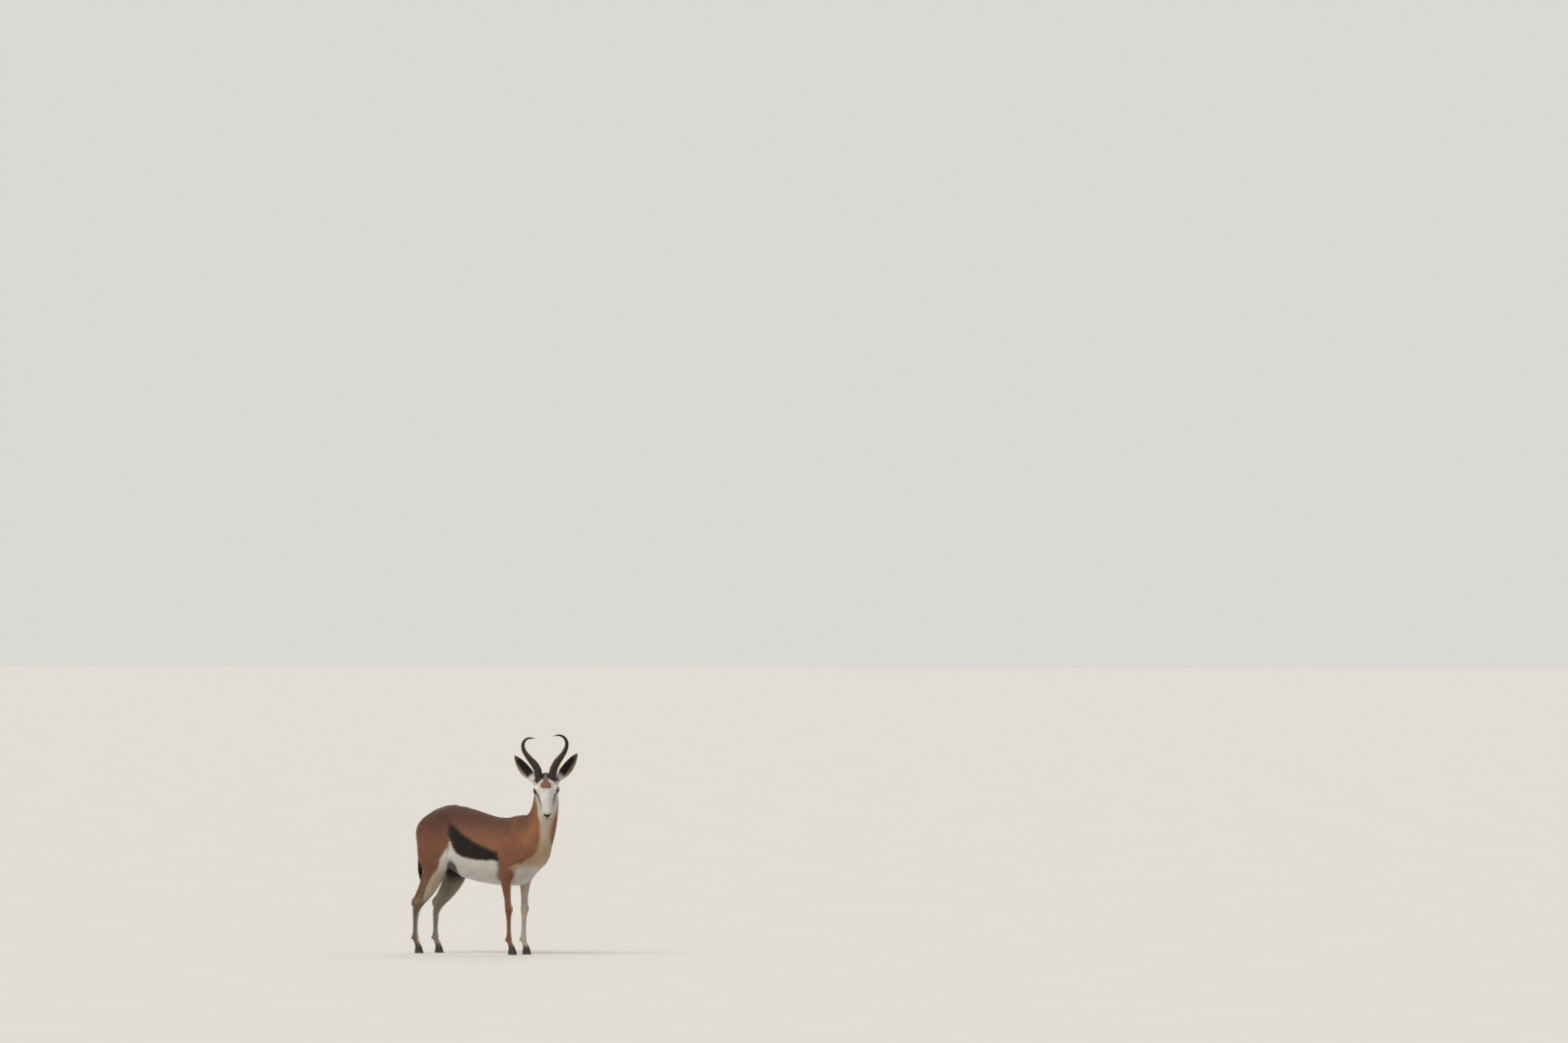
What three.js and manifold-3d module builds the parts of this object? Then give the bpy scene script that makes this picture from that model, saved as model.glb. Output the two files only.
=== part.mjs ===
// A springbok ram at life size, as a museum shows one: standing on four hooves, head turned to its right.
// Millimetres, +Z up, +X towards the chest, +Y to the animal's left, origin on the ground under the middle.
// The body is one smooth form, parted by thin plane cuts; horns, ears, eyes, hooves and tail are set on it.
import * as THREE from 'three';
import { edgeTable, triTable } from 'three/addons/objects/MarchingCubes.js';
import { mergeVertices } from 'three/addons/utils/BufferGeometryUtils.js';
import Module from 'manifold-3d';

// Driving sizes. The withers stand at 732 and the rump at 797; the trunk is 830 long.
const GAP = 0.3;
const EYE_CENTRE = [542, -82, 874];
const HEAD_TURN = THREE.MathUtils.degToRad(-52);
const HEAD_PITCH = THREE.MathUtils.degToRad(55);
const HEAD_TILT = THREE.MathUtils.degToRad(2.7);
const EYE_RADIUS = 20.5;
const HOOF_HEIGHT = 36;
const BODY_CELL = 8;
const HEAD_CELL = 2.8;
const BODY_TRIANGLES = 5780;
const HEAD_TRIANGLES = 2700;

// Coat and horn colours.
const TAWNY = 0x9a5f38;
const WHITE_COAT = 0xd9d2c4;
const EAR_GREY = 0x9c9284;
const DARK_HORN = 0x2a211d;
const HOOF_BLACK = 0x1d1a19;
const EYE_BROWN = 0x140d0a;
const TUFT_BLACK = 0x181413;

const wasm = await Module();
wasm.setup();

// Fields: a shape is a function of x, y, z that is negative inside and grows about 1 per mm.

const smoothMin = (a, b, k) => {
  const h = Math.max(k - Math.abs(a - b), 0) / k;
  return Math.min(a, b) - h * h * k / 4;
};
// Beyond this distance a coarse answer will do, as no blend is wider.
const FAR = 70;

// How far a point at (l, d, a) is from an ellipsoid with these half-axes, to first order.
const ellipsoidDistance = (l, d, a, wide, deep, long) => {
  const x = l / wide;
  const y = d / deep;
  const z = a / long;
  const near = Math.hypot(x, y, z);
  if (near < 1e-4) return -Math.min(wide, deep);
  return near * (near - 1) / Math.hypot(x / wide, y / deep, z / long);
};

// A limb is a run of elliptical sections along a smooth line. A station is
// [x, y, z, half-width, half-depth, egg]; egg above 0 makes the section wider on its upper or front side.
function limb(stations, { side = [0, 1, 0], steps = 3, endRound = 0.8 } = {}) {
  const curve = (pick) => new THREE.CatmullRomCurve3(
    stations.map((s) => new THREE.Vector3(...pick(s))), false, 'catmullrom', 0.5);
  const places = curve((s) => s.slice(0, 3));
  const sizes = curve((s) => [s[3], s[4], s[5] ?? 0]);
  const count = (stations.length - 1) * steps;
  const lateral = new THREE.Vector3(...side);
  const rings = Array.from({ length: count + 1 }, (_, i) => {
    const at = places.getPoint(i / count);
    const along = places.getTangent(i / count);
    const across = lateral.clone().addScaledVector(along, -lateral.dot(along)).normalize();
    const up = along.clone().cross(across);
    const { x: wide, y: deep, z: egg } = sizes.getPoint(i / count);
    return { at, along, across, up, wide, deep, egg };
  });
  const spans = rings.slice(1).map((b, i) => {
    const a = rings[i];
    const line = b.at.clone().sub(a.at);
    const middle = a.at.clone().addScaledVector(line, 0.5);
    const reach = line.length() / 2 + Math.max(a.wide, a.deep, b.wide, b.deep);
    return { a, b, line, lengthSq: line.lengthSq(), middle, reach, first: i === 0, last: i === count - 1 };
  });
  const box = new THREE.Box3().setFromPoints(rings.map((r) => r.at));
  box.expandByScalar(Math.max(...rings.map((r) => Math.max(r.wide, r.deep))));
  const mix = (p, q, t) => p + (q - p) * t;
  return (x, y, z) => {
    const outside = Math.hypot(
      Math.max(box.min.x - x, 0, x - box.max.x),
      Math.max(box.min.y - y, 0, y - box.max.y),
      Math.max(box.min.z - z, 0, z - box.max.z));
    if (outside > FAR) return outside;
    let best = Infinity;
    for (const { a, b, line, lengthSq, middle, reach, first, last } of spans) {
      if (Math.hypot(x - middle.x, y - middle.y, z - middle.z) - reach > best) continue;
      const run = ((x - a.at.x) * line.x + (y - a.at.y) * line.y + (z - a.at.z) * line.z) / lengthSq;
      const t = Math.min(Math.max(run, 0), 1);
      const vx = x - a.at.x - t * line.x;
      const vy = y - a.at.y - t * line.y;
      const vz = z - a.at.z - t * line.z;
      const l = vx * mix(a.across.x, b.across.x, t) + vy * mix(a.across.y, b.across.y, t)
        + vz * mix(a.across.z, b.across.z, t);
      const d = vx * mix(a.up.x, b.up.x, t) + vy * mix(a.up.y, b.up.y, t) + vz * mix(a.up.z, b.up.z, t);
      const beyond = Math.abs(run - t) * Math.sqrt(lengthSq);
      const deep = mix(a.deep, b.deep, t);
      const lean = Math.min(Math.max(d / deep, -1), 1) * mix(a.egg, b.egg, t);
      const wide = mix(a.wide, b.wide, t) * (1 + lean);
      const round = (first && run < 0) || (last && run > 1) ? endRound : 1;
      const value = ellipsoidDistance(l, d, beyond, wide, deep, Math.min(wide, deep) * round);
      if (value < best) best = value;
    }
    return best;
  };
}

// An ellipsoid with its long axes turned by Euler angles in degrees.
function blob([cx, cy, cz], [rx, ry, rz], turn = [0, 0, 0]) {
  const q = new THREE.Quaternion().setFromEuler(
    new THREE.Euler(...turn.map(THREE.MathUtils.degToRad), 'XYZ')).invert();
  const v = new THREE.Vector3();
  const reach = Math.max(rx, ry, rz);
  return (x, y, z) => {
    v.set(x - cx, y - cy, z - cz);
    const outside = v.length() - reach;
    if (outside > FAR) return outside;
    v.applyQuaternion(q);
    return ellipsoidDistance(v.x, v.y, v.z, rx, ry, rz);
  };
}

// Smooth union of parts onto a first shape, each with its own blend width.
const blend = (first, parts) => (x, y, z) =>
  parts.reduce((value, [part, k]) => smoothMin(value, part(x, y, z), k), first(x, y, z));

const SIDES = [['right', -1], ['left', 1]];

// Trunk: [x, back height, belly height, half-width, egg].
const TRUNK = [
  [-345, 702, 606, 44, 0], [-310, 730, 576, 70, 0], [-270, 754, 556, 92, 0],
  [-225, 776, 546, 106, 0], [-170, 794, 526, 114, 0], [-115, 790, 464, 119, 0],
  [-55, 772, 413, 124, -0.06], [20, 752, 388, 129, -0.1], [90, 736, 376, 131, -0.1],
  [160, 727, 368, 127, -0.06], [225, 727, 366, 115, 0], [285, 731, 368, 99, 0.04],
  [335, 714, 384, 86, 0.08], [382, 668, 416, 70, 0.08],
];
const trunk = limb(TRUNK.map(([x, top, bottom, wide, egg]) =>
  [x, 0, (top + bottom) / 2, wide, (top - bottom) / 2, egg]));

// Neck: a steep line from the chest to behind the jaw.
const neck = limb([
  [370, 0, 560, 77, 107], [411, 0, 628, 71, 102], [444, 0, 700, 63, 91],
  [466, -1, 770, 57, 80], [477, -4, 828, 55, 73], [476, -9, 866, 51, 62],
]);

// Shoulder blade, point of the shoulder and upper arm.
const shoulder = (s) => limb([
  [318, s * 46, 700, 30, 50], [340, s * 60, 648, 37, 66], [362, s * 74, 588, 40, 72],
  [354, s * 82, 532, 38, 66], [314, s * 84, 486, 35, 56], [284, s * 83, 446, 32, 44],
]);
const triceps = (s) => blob([282, s * 88, 530], [66, 30, 78], [0, 12, 0]);

// Foreleg from elbow to coronet.
const foreleg = (s) => limb([
  [274, s * 81, 448, 31, 41], [267, s * 79, 402, 27, 35], [265, s * 76, 356, 21.5, 27],
  [268, s * 71, 302, 16.5, 19], [270, s * 68, 264, 17, 19], [272, s * 66, 241, 19.5, 21],
  [271, s * 65, 220, 16.5, 18], [270, s * 64, 198, 12.8, 15], [269, s * 62, 150, 11.2, 13.2],
  [269, s * 61, 108, 11.8, 13.8], [268, s * 60, 84, 15.2, 17.6], [275, s * 60, 63, 12.6, 14.2],
  [284, s * 60, 45, 14.2, 17], [288, s * 60, 34, 15.5, 19.5],
]);
const kneeCap = (s) => blob([284, s * 66, 243], [11, 15, 19]);
const foreDewclaw = (s, side) => blob([250, s * 60 + side * 10, 77], [7, 5.5, 8.5], [0, 25, 0]);

// Haunch and hind leg. The left one stands a little further forward.
const LEFT_HIND_LEAD = 27;
const lead = (s, z) => s > 0 ? LEFT_HIND_LEAD * THREE.MathUtils.smoothstep(640 - z, 0, 370) : 0;
const leaned = (s, stations) => stations.map(([x, y, z, ...sizes]) => [x + lead(s, z), s * y, z, ...sizes]);
const hindleg = (s) => limb(leaned(s, [
  [-244, 58, 694, 42, 74], [-246, 68, 644, 51, 104], [-237, 78, 578, 50, 106],
  [-228, 85, 520, 45, 103], [-222, 86, 465, 38, 84], [-233, 84, 408, 31, 62],
  [-260, 79, 352, 24, 43], [-298, 75, 304, 18.5, 31], [-336, 71, 267, 17, 25],
  [-357, 69, 239, 17.5, 23], [-365, 68, 212, 14.6, 18.4], [-368, 68, 160, 11.8, 14.4],
  [-369, 68, 114, 12.2, 14.4], [-369, 68, 88, 15.4, 18.2], [-362, 68, 66, 12.8, 14.4],
  [-352, 68, 47, 14.4, 17], [-347, 68, 34, 15.5, 19.5],
]));
const hockPoint = (s) => blob([-379 + lead(s, 270), s * 70, 268], [12, 10, 21], [0, 22, 0]);
const tendon = (s) => limb(leaned(s, [
  [-378, 70, 276, 7.5, 9], [-350, 73, 316, 7, 11], [-312, 78, 366, 9, 20], [-286, 82, 420, 12, 26],
]));
const stifle = (s) => blob([-150 + lead(s, 520), s * 94, 524], [38, 26, 44], [0, -20, 0]);
const hindDewclaw = (s, side) => blob([-388 + lead(s, 80), s * 68 + side * 10, 80], [7, 5.5, 8.5], [0, 25, 0]);
const hip = (s) => blob([-160, s * 70, 742], [40, 24, 22]);
const buttock = (s) => blob([-337, s * 46, 640], [32, 32, 62], [0, 6, 0]);
// The root of the tail, on the middle line.
const dock = limb([[-318, 0, 700, 24, 22], [-350, 0, 690, 18, 17], [-368, 0, 664, 14, 13]]);

const body = blend(trunk, [
  [neck, 60],
  ...SIDES.flatMap(([, s]) => [
    [shoulder(s), 42], [triceps(s), 34], [foreleg(s), 28], [kneeCap(s), 8],
    [foreDewclaw(s, -1), 4], [foreDewclaw(s, 1), 4],
    [hindleg(s), 34], [stifle(s), 26], [hip(s), 34], [buttock(s), 24],
    [hockPoint(s), 12], [tendon(s), 16], [hindDewclaw(s, -1), 4], [hindDewclaw(s, 1), 4],
  ]),
  [blob([306, 0, 716], [44, 30, 20]), 26],
  [blob([404, 0, 566], [34, 34, 44]), 30],
  [blob([-60, 0, 416], [52, 14, 13]), 16],
  [dock, 14],
]);

// Head, in its own frame: origin between the eyes, x to the nose, y to its left, z up from the face.
const headFrame = new THREE.Matrix4().makeTranslation(...EYE_CENTRE)
  .multiply(new THREE.Matrix4().makeRotationZ(HEAD_TURN))
  .multiply(new THREE.Matrix4().makeRotationX(HEAD_TILT))
  .multiply(new THREE.Matrix4().makeRotationY(HEAD_PITCH));
const toHead = headFrame.clone().invert();

// Skull: [x, top, bottom, half-width, egg].
const SKULL = [
  [-90, -4, -50, 38, 0], [-68, 25, -76, 49, 0.06], [-38, 47, -86, 54, 0.14], [0, 48, -84, 50, 0.2],
  [30, 39, -78, 43, 0.2], [60, 29, -71, 35.5, 0.14], [90, 20, -67, 31, 0.06], [116, 12, -66, 29, 0],
  [137, 3, -62, 26.5, -0.04],
];
const skull = limb(SKULL.map(([x, top, bottom, wide, egg]) =>
  [x, 0, (top + bottom) / 2, wide, (top - bottom) / 2, egg]), { endRound: 0.6 });

const EYE_SIDE = 46.5;
const eyePlace = (s) => new THREE.Vector3(1, s * EYE_SIDE, 7);
const eyeLook = (s) => new THREE.Vector3(0.44, s * 0.87, 0.2).normalize();
const LID = 1.4;

// Horns rise from short pedicles on the frontal bone, ears from the corners behind the jaw.
const HORN_SEAT = (s) => [-45, s * 34, 43];
const hornRoot = (s) => limb([[-34, s * 31, 26, 25, 27], [-46, s * 34, 43, 20.5, 23.5]], { endRound: 0.4 });
const EAR_SEAT = (s) => [-66, s * 56, -10];
const earRoot = (s) => limb([[-54, s * 38, -22, 24, 25], [-68, s * 58, -7, 17, 19]], { endRound: 0.3 });

const headSolid = blend(skull, [
  ...SIDES.flatMap(([, s]) => [
    [blob([-34, s * 34, -40], [40, 17, 36]), 16],
    [blob([0, s * 46, 10], [27, 15, 23]), 12],
    [blob([40, s * 32, -14], [34, 8, 10], [0, 0, s * -12]), 10],
    [blob([eyePlace(s).x, eyePlace(s).y, eyePlace(s).z],
      [EYE_RADIUS + LID, EYE_RADIUS + LID, EYE_RADIUS + LID]), 6],
    [hornRoot(s), 12], [earRoot(s), 12],
    [blob([130, s * 13, -24], [22, 15, 21]), 8],
  ]),
  [blob([-36, 0, 38], [42, 34, 15]), 26],
  [blob([116, 0, -56], [24, 18, 13]), 8],
  [blob([139, 0, -8], [13, 19, 11]), 8],
]);
const probe = new THREE.Vector3();
const animal = (x, y, z) => {
  const onBody = body(x, y, z);
  probe.set(x, y, z).applyMatrix4(toHead);
  const fromHead = probe.length();
  if (fromHead > 260) return onBody;
  return smoothMin(onBody, headSolid(probe.x, probe.y, probe.z), 34);
};

// The surface where a field is zero, inside a box, on a grid of that cell.
const BLOCK = 4;
function surfaceOf(field, min, max, cell) {
  const size = min.map((low, i) => Math.ceil((max[i] - low) / cell) + 1);
  const [nx, ny, nz] = size;
  const place = (i, j, k) => [min[0] + i * cell, min[1] + j * cell, min[2] + k * cell];
  const values = new Float32Array(nx * ny * nz).fill(cell);
  // Blocks whose middle lies further from the surface than their corners are filled without a closer look.
  const reach = BLOCK * cell * 1.3;
  for (let k0 = 1; k0 < nz - 1; k0 += BLOCK) {
    for (let j0 = 1; j0 < ny - 1; j0 += BLOCK) {
      for (let i0 = 1; i0 < nx - 1; i0 += BLOCK) {
        const middle = field(...place(i0 + BLOCK / 2, j0 + BLOCK / 2, k0 + BLOCK / 2));
        for (let k = k0; k < Math.min(k0 + BLOCK, nz - 1); k++) {
          for (let j = j0; j < Math.min(j0 + BLOCK, ny - 1); j++) {
            for (let i = i0; i < Math.min(i0 + BLOCK, nx - 1); i++) {
              const value = Math.abs(middle) > reach ? middle : field(...place(i, j, k));
              values[i + nx * (j + ny * k)] = Math.abs(value) < 1e-3 ? 1e-3 : value;
            }
          }
        }
      }
    }
  }
  const step = [1, nx, nx * ny];
  // The two corners of each of a cell's 12 edges, in the order of edgeTable.
  const corner = [[0, 0, 0], [1, 0, 0], [1, 1, 0], [0, 1, 0], [0, 0, 1], [1, 0, 1], [1, 1, 1], [0, 1, 1]];
  const edges = [[0, 1], [1, 2], [3, 2], [0, 3], [4, 5], [5, 6], [7, 6], [4, 7], [0, 4], [1, 5], [2, 6], [3, 7]];
  const offset = corner.map(([i, j, k]) => i * step[0] + j * step[1] + k * step[2]);
  const positions = [];
  const triangles = [];
  const made = new Map();
  const crossing = (n, i, j, k, e) => {
    const [a, b] = edges[e];
    const axis = corner[a].findIndex((v, q) => v !== corner[b][q]);
    const key = (n + offset[a]) * 3 + axis;
    if (!made.has(key)) {
      const va = values[n + offset[a]];
      const vb = values[n + offset[b]];
      const at = place(i + corner[a][0], j + corner[a][1], k + corner[a][2]);
      at[axis] += cell * va / (va - vb);
      made.set(key, positions.length / 3);
      positions.push(...at);
    }
    return made.get(key);
  };
  for (let k = 0; k < nz - 1; k++) {
    for (let j = 0; j < ny - 1; j++) {
      for (let i = 0; i < nx - 1; i++) {
        const n = i + j * step[1] + k * step[2];
        const mask = offset.reduce((bits, o, c) => bits | (values[n + o] > 0 ? 1 << c : 0), 0);
        if (!edgeTable[mask]) continue;
        for (let t = mask * 16; triTable[t] !== -1; t += 3) {
          triangles.push([0, 1, 2].map((v) => crossing(n, i, j, k, triTable[t + v])));
        }
      }
    }
  }
  settle(field, positions, min, max, cell);
  return { positions, triangles };
}

// Moves each vertex along the field's slope until it lies on the surface, except on the box's walls.
function settle(field, positions, min, max, cell) {
  const H = 0.2;
  for (let n = 0; n < positions.length; n += 3) {
    for (let round = 0; round < 3; round++) {
      const [x, y, z] = positions.slice(n, n + 3);
      const atWall = [x, y, z].some((v, i) => v - min[i] < cell * 1.01 || max[i] - v < cell * 1.01);
      if (atWall) break;
      const value = field(x, y, z);
      const slope = [
        field(x + H, y, z) - field(x - H, y, z),
        field(x, y + H, z) - field(x, y - H, z),
        field(x, y, z + H) - field(x, y, z - H),
      ].map((v) => v / (2 * H));
      const steep = Math.max(slope.reduce((sum, v) => sum + v * v, 0), 0.1);
      const move = Math.min(Math.max(value / steep, -cell / 4), cell / 4);
      for (let i = 0; i < 3; i++) positions[n + i] -= move * slope[i];
    }
  }
}

// Collapses the edges that matter least to the shape until that many triangles are left.
// Each vertex carries the sum of its planes' squared distances, and a collapse goes to where that is least.
function thinned({ positions, triangles }, target) {
  const count = positions.length / 3;
  const p = Array.from({ length: count }, (_, i) => positions.slice(3 * i, 3 * i + 3));
  const faces = triangles.map((t) => [...t]);
  const facesOf = Array.from({ length: count }, () => new Set());
  const quadric = Array.from({ length: count }, () => new Float64Array(10));
  const stamp = new Int32Array(count);
  const minus = (a, b) => [a[0] - b[0], a[1] - b[1], a[2] - b[2]];
  const cross = (a, b) => [a[1] * b[2] - a[2] * b[1], a[2] * b[0] - a[0] * b[2], a[0] * b[1] - a[1] * b[0]];
  const dot = (a, b) => a[0] * b[0] + a[1] * b[1] + a[2] * b[2];
  const normal = (a, b, c) => cross(minus(b, a), minus(c, a));
  faces.forEach((f, i) => {
    const n = normal(...f.map((v) => p[v]));
    const area = Math.hypot(...n) || 1e-12;
    const [a, b, c] = n.map((v) => v / area);
    const d = -dot([a, b, c], p[f[0]]);
    const q = [a * a, a * b, a * c, a * d, b * b, b * c, b * d, c * c, c * d, d * d];
    for (const v of f) {
      facesOf[v].add(i);
      for (let k = 0; k < 10; k++) quadric[v][k] += q[k] * area;
    }
  });
  const errorAt = (q, [x, y, z]) =>
    q[0] * x * x + 2 * q[1] * x * y + 2 * q[2] * x * z + 2 * q[3] * x + q[4] * y * y
    + 2 * q[5] * y * z + 2 * q[6] * y + q[7] * z * z + 2 * q[8] * z + q[9];
  const bestPlace = (a, b) => {
    const q = quadric[a].map((v, k) => v + quadric[b][k]);
    const matrix = new THREE.Matrix3().set(q[0], q[1], q[2], q[1], q[4], q[5], q[2], q[5], q[7]);
    const size = q[0] + q[4] + q[7];
    const middle = p[a].map((v, i) => (v + p[b][i]) / 2);
    const choices = [p[a], p[b], middle];
    if (Math.abs(matrix.determinant()) > 1e-5 * size ** 3) {
      const v = new THREE.Vector3(-q[3], -q[6], -q[8]).applyMatrix3(matrix.invert()).toArray();
      const span = Math.hypot(...minus(p[a], p[b]));
      if (Math.hypot(...minus(v, middle)) < 2 * span) choices.push(v);
    }
    const costs = choices.map((c) => errorAt(q, c));
    const best = costs.indexOf(Math.min(...costs));
    return { at: choices[best], cost: costs[best], q };
  };
  const neighbours = (v) => {
    const found = new Set();
    for (const f of facesOf[v]) for (const w of faces[f]) if (w !== v) found.add(w);
    return found;
  };
  const heap = [];
  const swap = (i, j) => { [heap[i], heap[j]] = [heap[j], heap[i]]; };
  const push = (item) => {
    let i = heap.push(item) - 1;
    while (i > 0 && heap[(i - 1) >> 1].cost > heap[i].cost) {
      swap(i, (i - 1) >> 1);
      i = (i - 1) >> 1;
    }
  };
  const pop = () => {
    swap(0, heap.length - 1);
    const top = heap.pop();
    for (let i = 0; ;) {
      const l = 2 * i + 1;
      let least = i;
      if (l < heap.length && heap[l].cost < heap[least].cost) least = l;
      if (l + 1 < heap.length && heap[l + 1].cost < heap[least].cost) least = l + 1;
      if (least === i) return top;
      swap(i, least);
      i = least;
    }
  };
  const offer = (a, b) => {
    const { at, cost, q } = bestPlace(a, b);
    const tiny = 1e-4 * dot(minus(p[a], p[b]), minus(p[a], p[b]));
    push({ cost: cost + tiny, a, b, at, q, sa: stamp[a], sb: stamp[b] });
  };
  for (let v = 0; v < count; v++) for (const w of neighbours(v)) if (v < w) offer(v, w);
  const turnsOver = (v, other, at) => [...facesOf[v]].some((f) => {
    if (faces[f].includes(other)) return false;
    const before = normal(...faces[f].map((w) => p[w]));
    const after = normal(...faces[f].map((w) => (w === v ? at : p[w])));
    return dot(before, after) < 0.25 * Math.hypot(...before) * Math.hypot(...after);
  });
  let left = faces.length;
  while (left > target && heap.length) {
    const { a, b, at, q, sa, sb } = pop();
    if (stamp[a] !== sa || stamp[b] !== sb) continue;
    const nearB = neighbours(b);
    const shared = [...neighbours(a)].filter((v) => nearB.has(v));
    if (shared.length !== 2 || turnsOver(a, b, at) || turnsOver(b, a, at)) continue;
    for (const f of facesOf[b]) {
      if (faces[f].includes(a)) {
        for (const v of faces[f]) if (v !== b) facesOf[v].delete(f);
        faces[f] = null;
        left--;
      } else {
        faces[f][faces[f].indexOf(b)] = a;
        facesOf[a].add(f);
      }
    }
    facesOf[b].clear();
    stamp[b] = -1;
    p[a] = at;
    quadric[a] = q;
    stamp[a]++;
    for (const v of neighbours(a)) {
      offer(a, v);
    }
  }
  const renumber = new Map();
  const kept = [];
  const index = (v) => {
    if (!renumber.has(v)) {
      renumber.set(v, kept.length / 3);
      kept.push(...p[v]);
    }
    return renumber.get(v);
  };
  const rest = faces.filter(Boolean).map((f) => f.map(index));
  return { positions: kept, triangles: rest };
}

// Between three.js geometries and solids that can be cut and joined.

const solidFrom = (positions, triangles) => new wasm.Manifold(new wasm.Mesh({
  numProp: 3, vertProperties: Float32Array.from(positions), triVerts: Uint32Array.from(triangles.flat()),
}));

function solidOf(geometry) {
  const bare = new THREE.BufferGeometry().setAttribute('position', geometry.getAttribute('position'));
  if (geometry.index) bare.setIndex(geometry.index);
  const merged = mergeVertices(bare, 1e-3);
  const corners = Array.from(merged.index.array);
  const triangles = Array.from({ length: corners.length / 3 }, (_, i) => corners.slice(3 * i, 3 * i + 3))
    .filter(([a, b, c]) => a !== b && b !== c && c !== a);
  return solidFrom(merged.getAttribute('position').array, triangles);
}

function geometryOf(solid) {
  const mesh = solid.getMesh();
  const points = new Float32Array(mesh.numVert * 3);
  for (let i = 0; i < mesh.numVert; i++) {
    points.set(mesh.vertProperties.subarray(i * mesh.numProp, i * mesh.numProp + 3), 3 * i);
  }
  return new THREE.BufferGeometry()
    .setAttribute('position', new THREE.BufferAttribute(points, 3))
    .setIndex(new THREE.BufferAttribute(mesh.triVerts, 1));
}

// The largest closed surface of a solid, so that no loose scrap is kept.
const largest = (solid) => solid.decompose().reduce((a, b) => (a.volume() > b.volume() ? a : b));

// All that lies on the side of a plane that its normal points to, moved on by `shift`.
const SPAN = 3000;
function beyondPlane(point, normal, shift = 0) {
  const n = new THREE.Vector3(...normal).normalize();
  const box = new THREE.BoxGeometry(SPAN, SPAN, SPAN);
  box.translate(0, 0, SPAN / 2 + shift);
  box.applyQuaternion(new THREE.Quaternion().setFromUnitVectors(new THREE.Vector3(0, 0, 1), n));
  box.translate(...point);
  return solidOf(box);
}

// Parts a solid in two at a plane, with the gap between them: [the normal's side, the other side].
const partAt = (solid, point, normal) => [
  solid.intersect(beyondPlane(point, normal, GAP / 2)),
  solid.subtract(beyondPlane(point, normal, -GAP / 2)),
];

// A closed skin through rings of points that all have the same count, with a flat cap at each end.
function loft(rings) {
  const sides = rings[0].length;
  const points = rings.flat();
  const index = [];
  for (let r = 0; r < rings.length - 1; r++) {
    for (let i = 0; i < sides; i++) {
      const a = r * sides + i;
      const b = r * sides + (i + 1) % sides;
      index.push(a, b, b + sides, a, b + sides, a + sides);
    }
  }
  const cap = (ring, start, turned) => {
    const middle = ring.reduce((sum, v) => sum.add(v), new THREE.Vector3()).divideScalar(sides);
    points.push(middle);
    for (let i = 0; i < sides; i++) {
      const pair = [start + i, start + (i + 1) % sides];
      index.push(points.length - 1, ...(turned ? pair.reverse() : pair));
    }
  };
  cap(rings[0], 0, true);
  cap(rings.at(-1), (rings.length - 1) * sides, false);
  const solid = solidOf(new THREE.BufferGeometry().setFromPoints(points).setIndex(index));
  if (solid.volume() > 0) return solid;
  for (let i = 0; i < index.length; i += 3) [index[i], index[i + 1]] = [index[i + 1], index[i]];
  return solidOf(new THREE.BufferGeometry().setFromPoints(points).setIndex(index));
}

// Head planes. The neck meets the head along a steep plane from the nape to the throat.
const headForward = new THREE.Vector3(Math.cos(HEAD_TURN), Math.sin(HEAD_TURN), 0);
const THROAT = new THREE.Vector3(...EYE_CENTRE).addScaledVector(headForward, -46).add(new THREE.Vector3(0, 0, -60));
const HEAD_CUT = [THROAT.toArray(), headForward.clone().multiplyScalar(0.96).setZ(0.28).toArray()];
const NECK_CUT = [[354, 0, 722], [0.78, 0, 0.625]];
const RUMP_CUT = [[-105, 0, 600], [-1, 0, 0.06]];
const THIGH_CUT = [[-120, 0, 452], [-0.34, 0, -0.94]];
const KNEE_HEIGHT = 226;
const HOCK_HEIGHT = 232;

const cutSide = ([point, normal]) => {
  const plane = new THREE.Plane().setFromNormalAndCoplanarPoint(
    new THREE.Vector3(...normal).normalize(), new THREE.Vector3(...point));
  return (x, y, z) => plane.normal.x * x + plane.normal.y * y + plane.normal.z * z + plane.constant;
};

// The whole body behind the head cut.
const beyondHead = cutSide(HEAD_CUT);
const MARGIN = 12;
const behindHead = (x, y, z) => Math.max(
  animal(x, y, z), beyondHead(x, y, z) - MARGIN, HOOF_HEIGHT - MARGIN / 2 - z);
const wholeBody = thinned(
  surfaceOf(behindHead, [-440, -170, 20], [600, 170, 960], BODY_CELL), BODY_TRIANGLES);
let remaining = solidFrom(wholeBody.positions, wholeBody.triangles);
remaining = partAt(remaining, ...HEAD_CUT)[1];
remaining = partAt(remaining, [0, 0, HOOF_HEIGHT], [0, 0, 1])[0];

const solids = {};
[solids.neck, remaining] = partAt(remaining, ...NECK_CUT);
let hindquarters;
[hindquarters, remaining] = partAt(remaining, ...RUMP_CUT);
let hindlegs;
[hindlegs, solids.rump] = partAt(hindquarters, ...THIGH_CUT);

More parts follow.
